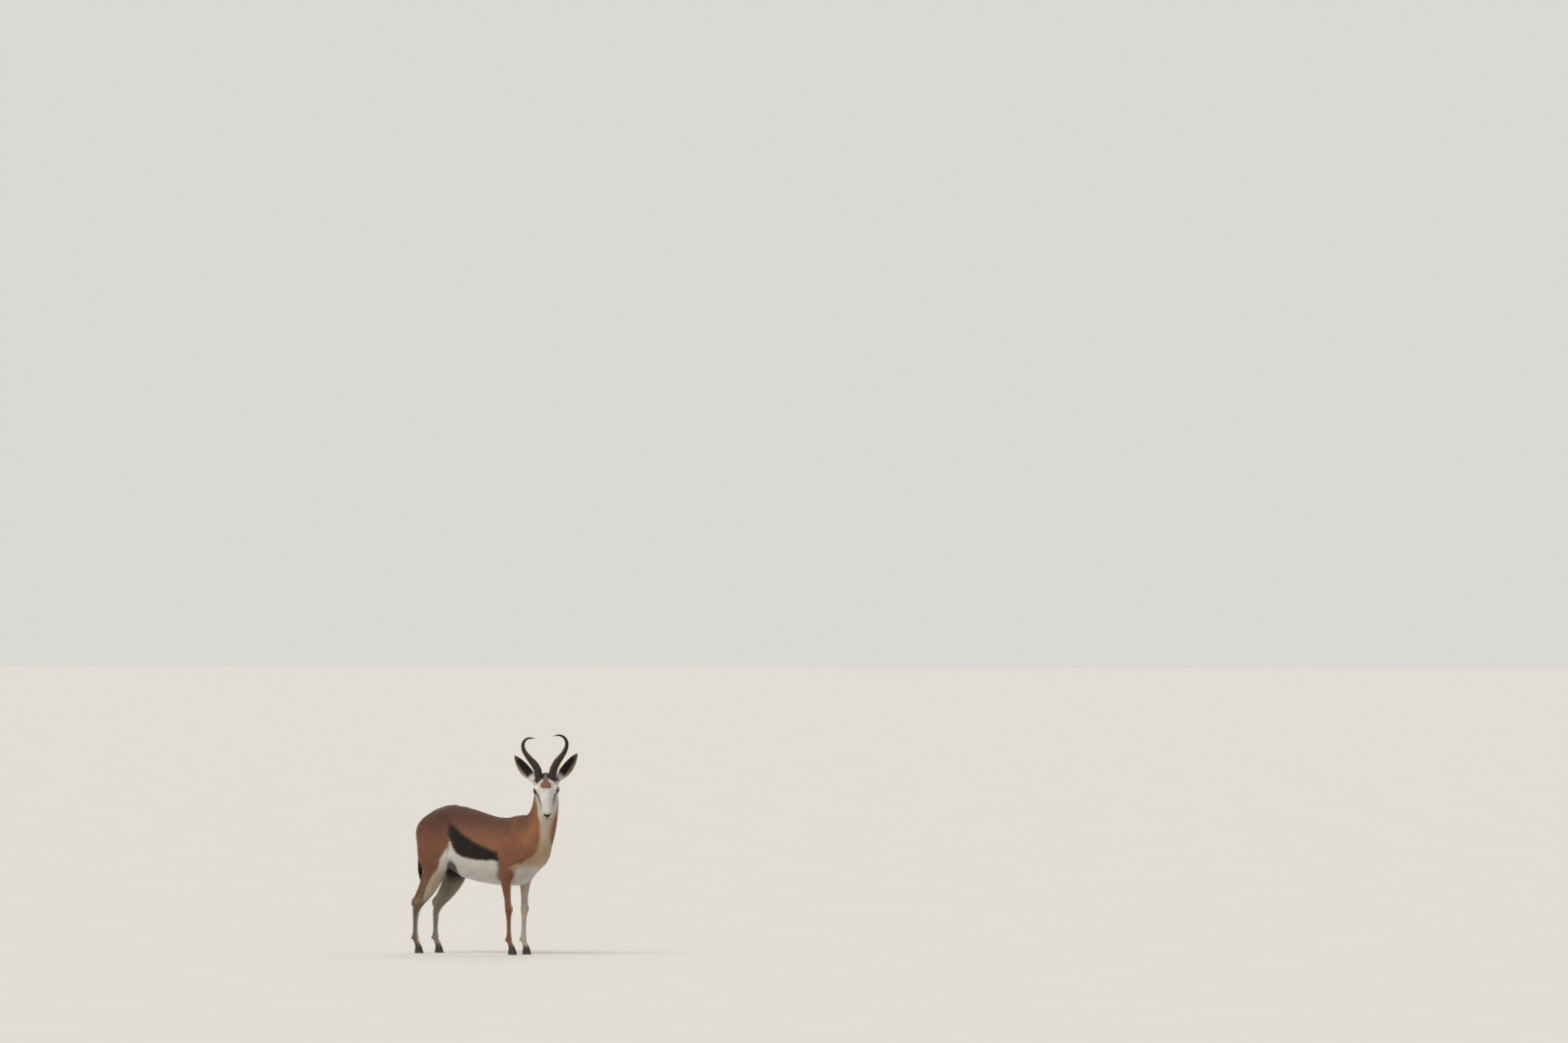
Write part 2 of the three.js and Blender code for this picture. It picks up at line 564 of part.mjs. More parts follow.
// The foreleg leaves the chest along a slanting plane from the elbow down to the armpit.
const ARMPIT = [[20, -20], [20, 345], [45, 370], [137, 485], [230, 485], [230, -20]];
function foreCutter(s, grow) {
  const outline = ARMPIT.map(([y, z]) => new THREE.Vector2(s * y, z));
  const shape = new THREE.Shape(s > 0 ? outline : outline.reverse());
  const block = new THREE.ExtrudeGeometry(shape, { depth: 130 + 2 * grow, bevelEnabled: false });
  block.rotateX(Math.PI / 2).rotateZ(Math.PI / 2);
  block.translate(214 - grow, -s * grow, grow);
  return solidOf(block);
}
for (const [name, s] of SIDES) {
  const half = beyondPlane([0, 0, 0], [0, s, 0]);
  const fore = largest(remaining.intersect(foreCutter(s, -GAP / 2)));
  remaining = remaining.subtract(foreCutter(s, GAP / 2));
  const hind = hindlegs.intersect(half);
  [solids[`foreleg_upper_${name}`], solids[`foreleg_lower_${name}`]] =
    partAt(fore, [0, 0, KNEE_HEIGHT], [0, 0, 1]);
  [solids[`hindleg_upper_${name}`], solids[`hindleg_lower_${name}`]] =
    partAt(hind, [0, 0, HOCK_HEIGHT], [0, 0, 1]);
}
solids.torso = remaining;

// The head, cut from the neck, with its eye sockets, and flat seats for horns and ears.
const inFrontOfNeck = (x, y, z) => Math.max(animal(x, y, z), -beyondHead(x, y, z) - MARGIN / 2);
const headMesh = thinned(
  surfaceOf(inFrontOfNeck, [415, -245, 690], [645, 30, 1000], HEAD_CELL), HEAD_TRIANGLES);
let head = partAt(solidFrom(headMesh.positions, headMesh.triangles), ...HEAD_CUT)[0];

const world = (v) => v.clone().applyMatrix4(headFrame);
const worldTurn = new THREE.Quaternion().setFromRotationMatrix(headFrame);
const eyeBall = (s, grow) => {
  const ball = new THREE.SphereGeometry(EYE_RADIUS + grow, 16, 10);
  ball.rotateX(Math.PI / 2);
  return solidOf(ball.applyQuaternion(new THREE.Quaternion().setFromUnitVectors(
    new THREE.Vector3(0, 0, 1), eyeLook(s))).translate(...eyePlace(s)).applyMatrix4(headFrame));
};
// The almond opening between the lids, a prism along the way the eye looks.
const OPENING = { half: 17.5, up: 11.5, down: 9.5, tilt: THREE.MathUtils.degToRad(-24) };
function lidOpening(s) {
  const almond = new THREE.Shape();
  const { half, up, down } = OPENING;
  almond.moveTo(-half, 0);
  almond.quadraticCurveTo(0, up * 2, half, 0);
  almond.quadraticCurveTo(0, -down * 2, -half, 0);
  const prism = new THREE.ExtrudeGeometry(almond, { depth: 40, bevelEnabled: false, curveSegments: 6 });
  const look = eyeLook(s);
  const along = new THREE.Vector3(1, 0, 0).addScaledVector(look, -look.x).normalize();
  const up3 = look.clone().cross(along).multiplyScalar(s);
  const lying = along.clone().multiplyScalar(Math.cos(OPENING.tilt)).addScaledVector(up3, Math.sin(OPENING.tilt));
  const rising = up3.clone().multiplyScalar(Math.cos(OPENING.tilt)).addScaledVector(along, -Math.sin(OPENING.tilt));
  const basis = new THREE.Matrix4().makeBasis(lying.multiplyScalar(s), rising, look);
  return solidOf(prism.applyMatrix4(basis).translate(...eyePlace(s)).applyMatrix4(headFrame));
}

const seatOf = (place, s) => world(new THREE.Vector3(...place(s)));
const outward = (s) => new THREE.Vector3(-headForward.y, headForward.x, 0).multiplyScalar(s);

// Horns: a lyre seen from the front, bent a little back, with the tips hooked in.
// Each point is [out from the middle, forward, up], from the middle of the horn's root.
const HORN_LINES = {
  right: [
    [-1, 1, -14], [1, 0, 0], [10, -9, 49], [26, -18, 77], [50, -28, 105], [69, -35, 129], [83, -38, 153],
    [87, -38, 177], [81, -34, 197], [65, -28, 212], [44, -21, 216], [20, -14, 212],
  ],
  left: [
    [-1, 1, -14], [1, 0, 0], [8, -8, 46], [26, -20, 85], [46, -29, 112], [63, -35, 137], [74, -38, 161],
    [77, -39, 186], [68, -34, 210], [51, -27, 223], [33, -20, 228], [4, -12, 222],
  ],
};
// Along the horn: [share of its length, half-width, half-depth].
const HORN_SIZES = [[0, 21, 24], [0.17, 20.5, 23.5], [0.36, 18, 21], [0.5, 13.5, 16],
  [0.66, 10.2, 12], [0.8, 7.4, 8.4], [0.92, 4, 4.4], [1, 1.2, 1.2]];
const HORN_RINGS = 22;
const RINGED_SHARE = 0.72;
const RIDGE = 1.5;
const HORN_SIDES = 10;

// Grooves of the muzzle: where a ray from inside the head meets its surface.
function onFace(from, direction) {
  const place = new THREE.Vector3(...from);
  const step = new THREE.Vector3(...direction).normalize().multiplyScalar(0.25);
  while (headSolid(place.x, place.y, place.z) < 0) place.add(step);
  return place;
}
// A groove with a lens section, cut along places on the face: [place, half-width, depth].
function groove(stops, lie) {
  const rings = stops.map(([place, wide, deep], i) => {
    const before = stops[Math.max(i - 1, 0)][0];
    const after = stops[Math.min(i + 1, stops.length - 1)][0];
    const along = after.clone().sub(before).normalize();
    const inward = lie.clone().sub(place);
    inward.addScaledVector(along, -inward.dot(along)).normalize();
    const across = along.clone().cross(inward);
    return [[0, -3], [-wide, -0.5], [0, deep], [wide, -0.5]].map(([a, b]) =>
      world(place.clone().addScaledVector(across, a).addScaledVector(inward, b)));
  });
  return loft(rings);
}
const LIP_MIDDLE = [108, 0, -42];
function mouth() {
  const turns = [-128, -112, -92, -68, -40, -18, 0, 18, 40, 68, 92, 112, 128];
  const stops = turns.map((degrees) => {
    const share = Math.abs(degrees) / 128;
    const turn = THREE.MathUtils.degToRad(degrees);
    const place = onFace(LIP_MIDDLE, [Math.cos(turn), Math.sin(turn), -0.06 - 0.2 * share ** 2]);
    return [place, 1.7 - 1.1 * share ** 3, 4.5 - 3 * share ** 3];
  });
  return groove(stops, new THREE.Vector3(...LIP_MIDDLE));
}
function nostril(s) {
  const middle = [124, 0, -12];
  const stops = [[0, 0.17, -0.12, 1.4, 4], [0, 0.34, -0.05, 2.6, 7], [0, 0.52, 0.1, 3.2, 8],
    [0, 0.78, 0.24, 2.6, 6], [0, 1.1, 0.26, 1.2, 3]].map(([, side, up, wide, deep]) =>
    [onFace(middle, [1, s * side, up]), wide, deep]);
  return groove(stops, new THREE.Vector3(...middle));
}
function lipCleft() {
  const middle = [124, 0, -20];
  const stops = [[0.1, 0.5, 2], [-0.25, 1.1, 3], [-0.6, 1.2, 3]].map(([up, wide, deep]) =>
    [onFace(middle, [1, 0, up]), wide, deep]);
  return groove(stops, new THREE.Vector3(...middle));
}

const hornAim = (s) => new THREE.Vector3(-17, s * 4, 25).normalize();
function hornSizes(share) {
  const next = HORN_SIZES.findIndex(([at]) => at >= share);
  const [b, wb, db] = HORN_SIZES[Math.max(next, 1)];
  const [a, wa, da] = HORN_SIZES[Math.max(next, 1) - 1];
  const t = (share - a) / (b - a);
  return [wa + (wb - wa) * t, da + (db - da) * t];
}
function horn(name, s, grow = 0) {
  const root = seatOf(HORN_SEAT, s);
  const out = outward(s);
  const line = new THREE.CatmullRomCurve3(HORN_LINES[name].map(([away, forward, up]) => root.clone()
    .addScaledVector(out, away).addScaledVector(headForward, forward).add(new THREE.Vector3(0, 0, up))));
  const shares = [];
  for (let ring = 0; ring < HORN_RINGS; ring++) {
    const at = ring / HORN_RINGS * RINGED_SHARE;
    shares.push([at, -RIDGE / 2], [at + 0.55 / HORN_RINGS * RINGED_SHARE, RIDGE]);
  }
  for (const at of [0.72, 0.77, 0.82, 0.87, 0.92, 0.96, 1]) shares.push([at, 0]);
  const rings = shares.map(([share, ridge]) => {
    const [wide, deep] = hornSizes(share);
    const fade = THREE.MathUtils.smoothstep(1 - share, 1 - RINGED_SHARE, 0.75);
    const centre = line.getPointAt(share);
    const along = line.getTangentAt(share);
    const across = out.clone().addScaledVector(along, -out.dot(along)).normalize();
    const fore = along.clone().cross(across);
    return Array.from({ length: HORN_SIDES }, (_, i) => {
      const turn = i / HORN_SIDES * 2 * Math.PI;
      return centre.clone().addScaledVector(across, (wide + grow + ridge * fade) * Math.cos(turn))
        .addScaledVector(fore, (deep + grow + ridge * fade) * Math.sin(turn));
    });
  });
  return loft(rings);
}

// Ears: a cup rolled into a tube at its root, open to the front, tapering to a soft point.
const EAR_REACH = (s) => [109 - s * 2, -12, 139 + s * 3];
const EAR_HALF_WIDTH = 29;
const EAR_BOW = 8;
const EAR_SECTIONS = 13;
const EAR_ARC = 7;
const EAR_THICK = 3.4;
const earReach = (s) => {
  const [out, forward, up] = EAR_REACH(s);
  return outward(s).multiplyScalar(out).addScaledVector(headForward, forward).add(new THREE.Vector3(0, 0, up));
};
const earAim = (s) => earReach(s).normalize();
function ear(s, grow = 0) {
  const out = outward(s);
  const root = seatOf(EAR_SEAT, s);
  const reach = earReach(s);
  const along = reach.clone().normalize();
  const open = headForward.clone().addScaledVector(out, 0.35);
  open.addScaledVector(along, -open.dot(along)).normalize();
  const across = along.clone().cross(open);
  const rings = [];
  for (let r = 0; r <= EAR_SECTIONS; r++) {
    const t = r / EAR_SECTIONS;
    const taper = t < 0.42 ? 1 : Math.max(1 - ((t - 0.42) / 0.58) ** 2.1, 0) ** 0.85;
    const half = THREE.MathUtils.lerp(15, EAR_HALF_WIDTH, THREE.MathUtils.smoothstep(t, 0, 0.36))
      * taper + 2.2 * t + grow;
    const depth = THREE.MathUtils.lerp(17, 13, THREE.MathUtils.smoothstep(t, 0, 0.3)) * (1 - 0.8 * t ** 2.2) + grow;
    const thick = THREE.MathUtils.lerp(EAR_THICK, 1.8, t);
    const hollow = THREE.MathUtils.smoothstep(t, 0.1, 0.34);
    const bend = 10 * Math.sin(Math.PI * t);
    const centre = root.clone().addScaledVector(reach, t - (r ? 0 : 0.05)).addScaledVector(open, -bend)
      .addScaledVector(across, s * EAR_BOW * Math.sin(Math.PI * t));
    const point = (a, back) => centre.clone().addScaledVector(across, a).addScaledVector(open, -back);
    const ring = [];
    for (let i = 0; i <= EAR_ARC; i++) {
      const turn = (i / EAR_ARC - 0.5) * Math.PI;
      ring.push(point(half * Math.sin(turn), depth * Math.cos(turn)));
    }
    for (let i = EAR_ARC; i >= 0; i--) {
      const turn = (i / EAR_ARC - 0.5) * Math.PI;
      const inner = Math.max(half - thick * 0.8, half * 0.3);
      const floor = THREE.MathUtils.lerp(-depth * 0.8, depth - thick, hollow);
      const rim = THREE.MathUtils.lerp(-1.5, -1.2, hollow);
      ring.push(point(inner * Math.sin(turn), (floor - rim) * Math.cos(turn) + rim));
    }
    rings.push(ring);
  }
  return loft(rings);
}

// Tail: slim, hanging close behind the rump, its lower end hidden in a tuft of long flat locks.
// Each station is [x, y, z, half-width]; the first is sunk in a pocket of the rump.
const TAIL_LINE = [
  [-346, 0, 694, 10], [-372, 0, 680, 11], [-385, 0, 650, 10.5], [-390, -1, 605, 9], [-392, -3, 550, 7.5],
  [-390, -5, 486, 6],
];
const TAIL_SIDES = 9;
const TUFT_SEAT = [-390, -5, 488];
const TUFT_BOTTOM = 372;
const LOCKS = 7;
function oval(centre, across, fore, wide, deep, sides, start = 0) {
  return Array.from({ length: sides }, (_, i) => {
    const turn = start + i / sides * 2 * Math.PI;
    return centre.clone().addScaledVector(across, wide * Math.cos(turn))
      .addScaledVector(fore, deep * Math.sin(turn));
  });
}
const Y_AXIS = new THREE.Vector3(0, 1, 0);
function tail(grow) {
  const places = new THREE.CatmullRomCurve3(TAIL_LINE.map((s) => new THREE.Vector3(...s.slice(0, 3))));
  const sizes = new THREE.CatmullRomCurve3(TAIL_LINE.map((s) => new THREE.Vector3(s[3], 0, 0)));
  const rings = [];
  for (let i = 0; i <= 14; i++) {
    const along = places.getTangent(i / 14);
    const across = Y_AXIS.clone().addScaledVector(along, -Y_AXIS.dot(along)).normalize();
    const half = sizes.getPoint(i / 14).x + grow;
    const centre = places.getPoint(i / 14);
    if (i === 0) centre.addScaledVector(along, -grow);
    rings.push(oval(centre, across, along.clone().cross(across), half * 1.15, half * 0.9, TAIL_SIDES));
  }
  return loft(rings).intersect(beyondPlane(TUFT_SEAT, [0, 0, 1], GAP));
}
// One lock: a flat strand that leaves the tail at an angle and tapers to its own tip.
function lock(turn, length, spread) {
  const away = new THREE.Vector3(Math.cos(turn), Math.sin(turn), 0);
  const side = new THREE.Vector3(-away.y, away.x, 0);
  const rings = [0, 0.5, 1].map((t) => {
    const centre = new THREE.Vector3(...TUFT_SEAT).add(new THREE.Vector3(13 * t, -3 * t, -length * t))
      .addScaledVector(away, 3 + spread * Math.sin(Math.PI * 0.72 * t));
    const half = [6, 7, 0.8][t * 2];
    return oval(centre, side, away, half, half * 0.5, 5);
  });
  return loft(rings);
}
function tuft() {
  const locks = Array.from({ length: LOCKS }, (_, i) => {
    const share = (i * 7 % LOCKS) / LOCKS;
    const length = TUFT_SEAT[2] - TUFT_BOTTOM - 34 * share;
    return lock(i / LOCKS * 2 * Math.PI, length, 6 + 4 * share);
  });
  const seat = new THREE.Vector3(...TUFT_SEAT);
  const core = loft([[0, 8], [-50, 9], [-85, 5]].map(([drop, half]) => oval(
    seat.clone().add(new THREE.Vector3(-drop * 0.1, 0, drop)), Y_AXIS, new THREE.Vector3(1, 0, 0), half, half, 8)));
  return locks.reduce((all, one) => all.add(one), core);
}

// Hooves: two claws with flat soles, pointed at the toe, joined under the coronet.
const HOOF = { toe: 31, heel: 24, width: 18.5, slit: 1.4, slope: 0.4 };
const HOOF_SIDES = 12;
function claw(x, y, side) {
  const rings = [0, 1].map((share) => {
    const z = share * (HOOF_HEIGHT - GAP);
    const toe = HOOF.toe - HOOF.slope * z;
    const heel = HOOF.heel - 0.12 * z;
    const outer = HOOF.width - 0.09 * z;
    const inner = HOOF.slit;
    return Array.from({ length: HOOF_SIDES }, (_, i) => {
      const turn = i / HOOF_SIDES * 2 * Math.PI;
      const along = Math.cos(turn);
      const reach = along > 0 ? toe * along : heel * along;
      const taper = along > 0 ? 1 - 0.35 * along ** 3 : 1 - 0.1 * along ** 2;
      const round = Math.sign(Math.sin(turn)) * Math.abs(Math.sin(turn)) ** 0.75;
      const across = round > 0 ? inner + (outer - inner) * round * taper : inner;
      const back = round > 0 ? reach : reach * 0.94;
      const bulge = round > 0 ? across : inner + (outer - inner) * 0.06 * (1 + round);
      return new THREE.Vector3(x + back, y + side * bulge, z);
    });
  });
  return loft(rings);
}
function hoof(x, y) {
  const bridge = new THREE.CylinderGeometry(1, 1, 7, 12).rotateX(Math.PI / 2);
  bridge.scale(15, 14, 1).translate(x - 1, y, HOOF_HEIGHT - GAP - 3.5);
  return claw(x, y, 1).add(claw(x, y, -1)).add(solidOf(bridge));
}

const group = new THREE.Group();
const paint = (color, roughness) => new THREE.MeshStandardMaterial({ color, roughness, metalness: 0 });
const add = (name, solid, material = paint(TAWNY, 0.85)) => {
  const mesh = new THREE.Mesh(geometryOf(largest(solid)), material);
  mesh.name = name;
  group.add(mesh);
};

for (const [name, s] of SIDES) {
  head = head.subtract(eyeBall(s, GAP)).subtract(lidOpening(s));
  add(`eye_${name}`, eyeBall(s, 0), paint(EYE_BROWN, 0.12));
  const aim = hornAim(s).applyQuaternion(worldTurn);
  const seat = seatOf(HORN_SEAT, s);
  const above = seat.clone().addScaledVector(aim, GAP);
  head = head.subtract(horn(name, s, GAP + 0.1).intersect(beyondPlane(seat, aim)));
  add(`horn_${name}`, horn(name, s).intersect(beyondPlane(above, aim)), paint(DARK_HORN, 0.55));
  const earTurn = earAim(s);
  const earFoot = seatOf(EAR_SEAT, s);
  head = head.subtract(ear(s, GAP + 0.1).intersect(beyondPlane(earFoot, earTurn)));
  add(`ear_${name}`, ear(s).intersect(beyondPlane(earFoot.clone().addScaledVector(earTurn, GAP), earTurn)),
    paint(EAR_GREY, 0.85));
  add(`forehoof_${name}`, hoof(290, s * 60), paint(HOOF_BLACK, 0.5));
  add(`hindhoof_${name}`, hoof(-345 + lead(s, 0), s * 68), paint(HOOF_BLACK, 0.5));
}
for (const cut of [mouth(), nostril(-1), nostril(1), lipCleft()]) head = head.subtract(cut);
add('head', head, paint(WHITE_COAT, 0.85));
solids.rump = solids.rump.subtract(tail(GAP + 0.1));
for (const [name, solid] of Object.entries(solids)) add(name, solid);
add('tail', tail(0), paint(WHITE_COAT, 0.85));
add('tail_tuft', tuft(), paint(TUFT_BLACK, 0.9));

// The origin goes to the ground under the middle of the whole animal.
const bounds = new THREE.Box3().setFromObject(group);
const foot = bounds.getCenter(new THREE.Vector3()).setZ(bounds.min.z);
for (const mesh of group.children) mesh.geometry.translate(-foot.x, -foot.y, -foot.z);

export default group;
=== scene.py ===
import math
import bmesh
import bpy
import numpy as np
from mathutils import Matrix, Vector
from mathutils.bvhtree import BVHTree


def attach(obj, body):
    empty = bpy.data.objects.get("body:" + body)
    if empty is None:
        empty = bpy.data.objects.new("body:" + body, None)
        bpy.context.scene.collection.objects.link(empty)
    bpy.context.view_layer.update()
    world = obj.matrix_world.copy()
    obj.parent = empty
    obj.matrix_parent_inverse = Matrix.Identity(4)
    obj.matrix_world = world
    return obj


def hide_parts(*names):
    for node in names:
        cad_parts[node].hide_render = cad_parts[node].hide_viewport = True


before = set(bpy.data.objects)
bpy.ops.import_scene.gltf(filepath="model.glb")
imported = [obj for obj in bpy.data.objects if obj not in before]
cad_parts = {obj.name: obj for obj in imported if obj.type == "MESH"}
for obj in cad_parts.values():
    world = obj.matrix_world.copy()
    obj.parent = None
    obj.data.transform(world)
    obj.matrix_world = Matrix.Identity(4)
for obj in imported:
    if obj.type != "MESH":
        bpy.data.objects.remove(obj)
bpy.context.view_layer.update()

# ---- The view. A long lens some seventy metres off sees the animal small, at the left of a wide
# frame, from its front right; the camera stands 1.7 m above the ground and looks a little up.
# The floor is plain and pale, the light two wide soft lamps and an even dome.
VIEW_TURN = math.radians(38)
VIEW_DISTANCE = 70.0
CAMERA_HEIGHT = 1.708
AIM_RIGHT, AIM_UP = 1.545, 2.297
LENS_MM, SENSOR_MM = 302.8, 36
FAR_CLIP = 2000
FLOOR_SIZE, FLOOR_DROP = 900, 0.0006
LAMP_DISTANCE = 4
DOME_STRENGTH = 0.8
view_right = Vector((math.cos(VIEW_TURN), math.sin(VIEW_TURN), 0))
view_back = Vector((math.sin(VIEW_TURN), -math.cos(VIEW_TURN), 0))
aim = view_right * AIM_RIGHT + Vector((0, 0, AIM_UP))
stand = aim + view_back * VIEW_DISTANCE
stand.z = CAMERA_HEIGHT
view_way = (aim - stand).to_track_quat("-Z", "Y").to_euler()
bpy.ops.object.camera_add(location=stand, rotation=view_way)
camera = bpy.context.object
camera.data.sensor_width = SENSOR_MM
camera.data.lens = LENS_MM
camera.data.clip_end = FAR_CLIP
bpy.context.scene.camera = camera
bpy.context.scene.view_settings.view_transform = "Standard"


def linear(hex_colour):
    """An sRGB hex colour as linear red, green and blue."""
    parts = [int(hex_colour[i:i + 2], 16) / 255 for i in (1, 3, 5)]
    return [c / 12.92 if c <= 0.04045 else ((c + 0.055) / 1.055) ** 2.4 for c in parts]


def node(tree, kind, settings=(), **inputs):
    """Adds a shader node. Settings are its own properties; inputs are values or links, named by
    socket, or by number where two sockets share a name."""
    made = tree.nodes.new(kind)
    for name, value in dict(settings).items():
        setattr(made, name, value)
    for name, value in inputs.items():
        socket = made.inputs[int(name[1:]) if name[0] == "_" else name.replace("_", " ")]
        if isinstance(value, bpy.types.NodeSocket):
            tree.links.new(value, socket)
        else:
            socket.default_value = (*value, 1) if socket.type == "RGBA" else value
    return made


def material(name, **inputs):
    """A new material, its tree and its shader, with these constants on the shader's sockets."""
    made = bpy.data.materials.new(name)
    made.use_nodes = True
    tree = made.node_tree
    shader = next(n for n in tree.nodes if n.type == "BSDF_PRINCIPLED")
    for socket, value in inputs.items():
        shader.inputs[socket.replace("_", " ")].default_value = value
    return made, tree, shader


bpy.ops.object.select_all(action="DESELECT")
bpy.ops.mesh.primitive_plane_add(size=FLOOR_SIZE, location=(0, 0, -FLOOR_DROP))
floor = bpy.context.object
floor.name = "floor"
paint, tree, shader = material("matt pale floor paint", Roughness=0.9, Specular_IOR_Level=0.2)
where = node(tree, "ShaderNodeTexCoord").outputs["Object"]
# The paint is a little uneven, over some 0.7 m.
grain = node(tree, "ShaderNodeTexNoise", Vector=where, Scale=1.4, Detail=3.0)
shade = node(tree, "ShaderNodeMix", {"data_type": "RGBA"}, Factor=grain.outputs["Fac"],
             _6=linear("#c6c4c0"), _7=linear("#cccac6"))
tree.links.new(shade.outputs[2], shader.inputs["Base Color"])
floor.data.materials.append(paint)

world = bpy.data.worlds.new("studio dome")
world.use_nodes = True
dome = world.node_tree.nodes["Background"]
dome.inputs["Color"].default_value = (*linear("#f0efec"), 1)
dome.inputs["Strength"].default_value = DOME_STRENGTH
bpy.context.scene.world = world


def soft_sun(name, azimuth, elevation, strength, spread, colour):
    """A wide, soft light from one side, even all over the floor."""
    a, e = math.radians(azimuth), math.radians(elevation)
    side = Vector((math.sin(a) * math.cos(e), -math.cos(a) * math.cos(e), math.sin(e)))
    turned = side.to_track_quat("Z", "Y").to_euler()
    bpy.ops.object.light_add(type="SUN", location=side * LAMP_DISTANCE, rotation=turned)
    lamp = bpy.context.object
    lamp.name = name
    lamp.data.energy = strength
    lamp.data.angle = math.radians(spread)
    lamp.data.color = linear(colour)


soft_sun("key_light", 2, 50, 1.75, 34, "#fffaf3")
soft_sun("back_light", 215, 40, 0.7, 45, "#fff4e6")

# ---- The skin. One hide without a seam lies over the whole animal, from the muzzle to the hooves,
# inside the solids by the depth of the coat. Folds, muscles and lids are pressed into it, as a
# taxidermist tucks a wet hide over the form.
SIDES = (("right", -1), ("left", 1))
LEGS = [f"{leg}_{part}_{side}" for leg in ("foreleg", "hindleg") for part in ("upper", "lower")
        for side, _ in SIDES]
EARS = ("ear_right", "ear_left")
FLESH = ["torso", "rump", "neck", "head", *EARS, "tail", *LEGS]
MM = 0.001
# The sizes below are in millimetres from a point on the ground under the middle of the trunk.
TRUNK_MIDDLE = np.array([-119.526, 10.671, 0.0])
HEAD_TURN, HEAD_PITCH, HEAD_TILT = math.radians(-52), math.radians(55), math.radians(2.7)
EYE_MIDDLE = (542, -82, 874)
head_frame = (Matrix.Translation(EYE_MIDDLE) @ Matrix.Rotation(HEAD_TURN, 4, "Z")
              @ Matrix.Rotation(HEAD_TILT, 4, "X") @ Matrix.Rotation(HEAD_PITCH, 4, "Y"))
head_turn = np.array(head_frame)[:3, :3]
head_forward = np.array([math.cos(HEAD_TURN), math.sin(HEAD_TURN), 0])
head_left = np.array([-math.sin(HEAD_TURN), math.cos(HEAD_TURN), 0])


def metres(points):
    """From millimetres about the trunk's middle to the model's metres."""
    return (np.asarray(points, float) + TRUNK_MIDDLE) * MM


def millimetres(points):
    """From the model's metres to millimetres about the trunk's middle."""
    return np.asarray(points, float) / MM - TRUNK_MIDDLE


def from_head(points):
    """From the head's own frame, x to the nose, y to its left, z up from the face, to the body's."""
    return np.asarray(points, float) @ head_turn.T + np.array(EYE_MIDDLE)


def to_head(points):
    """From the body's millimetres to the head's own frame."""
    return (np.asarray(points, float) - np.array(EYE_MIDDLE)) @ head_turn


def unit(v):
    """The same direction at length 1."""
    v = np.asarray(v, float)
    return v / np.maximum(np.linalg.norm(v, axis=-1, keepdims=True), 1e-9)


def ease(x, low, high):
    """0 below low, 1 above high, smooth between; low may be the larger one."""
    t = np.clip((np.asarray(x, float) - low) / (high - low), 0, 1)
    return t * t * (3 - 2 * t)


def alone(piece):
    """Selects one piece and nothing else."""
    bpy.ops.object.select_all(action="DESELECT")
    piece.select_set(True)
    bpy.context.view_layer.objects.active = piece


def finished(piece, kind, **settings):
    """Gives a piece a modifier with these settings and applies it."""
    alone(piece)
    change = piece.modifiers.new(kind.title(), kind)
    for name, value in settings.items():
        setattr(change, name, value)
    bpy.ops.object.modifier_apply(modifier=change.name)


def edit(piece, *steps):
    """Runs edit-mode steps on the whole of a piece."""
    alone(piece)
    bpy.ops.object.mode_set(mode="EDIT")
    bpy.ops.mesh.select_all(action="SELECT")
    for step in steps:
        step()
    bpy.ops.object.mode_set(mode="OBJECT")


def merged_copy(source, name, swell=0.0):
    """A copy of a solid with its corners merged, swollen a little so that it meets its neighbours."""
    piece = bpy.data.objects.new(name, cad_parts[source].data.copy())
    piece.data.materials.clear()
    bpy.context.scene.collection.objects.link(piece)
    edit(piece, lambda: bpy.ops.mesh.remove_doubles(threshold=1e-5))
    if swell:
        finished(piece, "DISPLACE", strength=swell, mid_level=0)
    return piece


def joined(pieces, name):
    """Joins pieces into the first of them."""
    bpy.ops.object.select_all(action="DESELECT")
    for piece in pieces:
        piece.select_set(True)
    bpy.context.view_layer.objects.active = pieces[0]
    bpy.ops.object.join()
    pieces[0].name = pieces[0].data.name = name
    return pieces[0]


def cut(piece, point, normal, keep_above, fill):
    """Cuts a piece at a plane and keeps the side that the normal points to, or the other."""
    edit(piece, lambda: bpy.ops.mesh.bisect(
        plane_co=Vector(metres(point)), plane_no=Vector(normal), clear_inner=keep_above,
        clear_outer=not keep_above, use_fill=fill))


def points_of(piece, what="co"):
    """The places of a piece's vertices, or their normals."""
    found = np.empty(len(piece.data.vertices) * 3, np.float32)
    piece.data.vertices.foreach_get(what, found)
    return found.reshape(-1, 3).astype(float)


def set_points(piece, points):
    """Moves a piece's vertices to these places."""
    piece.data.vertices.foreach_set("co", np.ascontiguousarray(points, np.float32).ravel())
    piece.data.update()


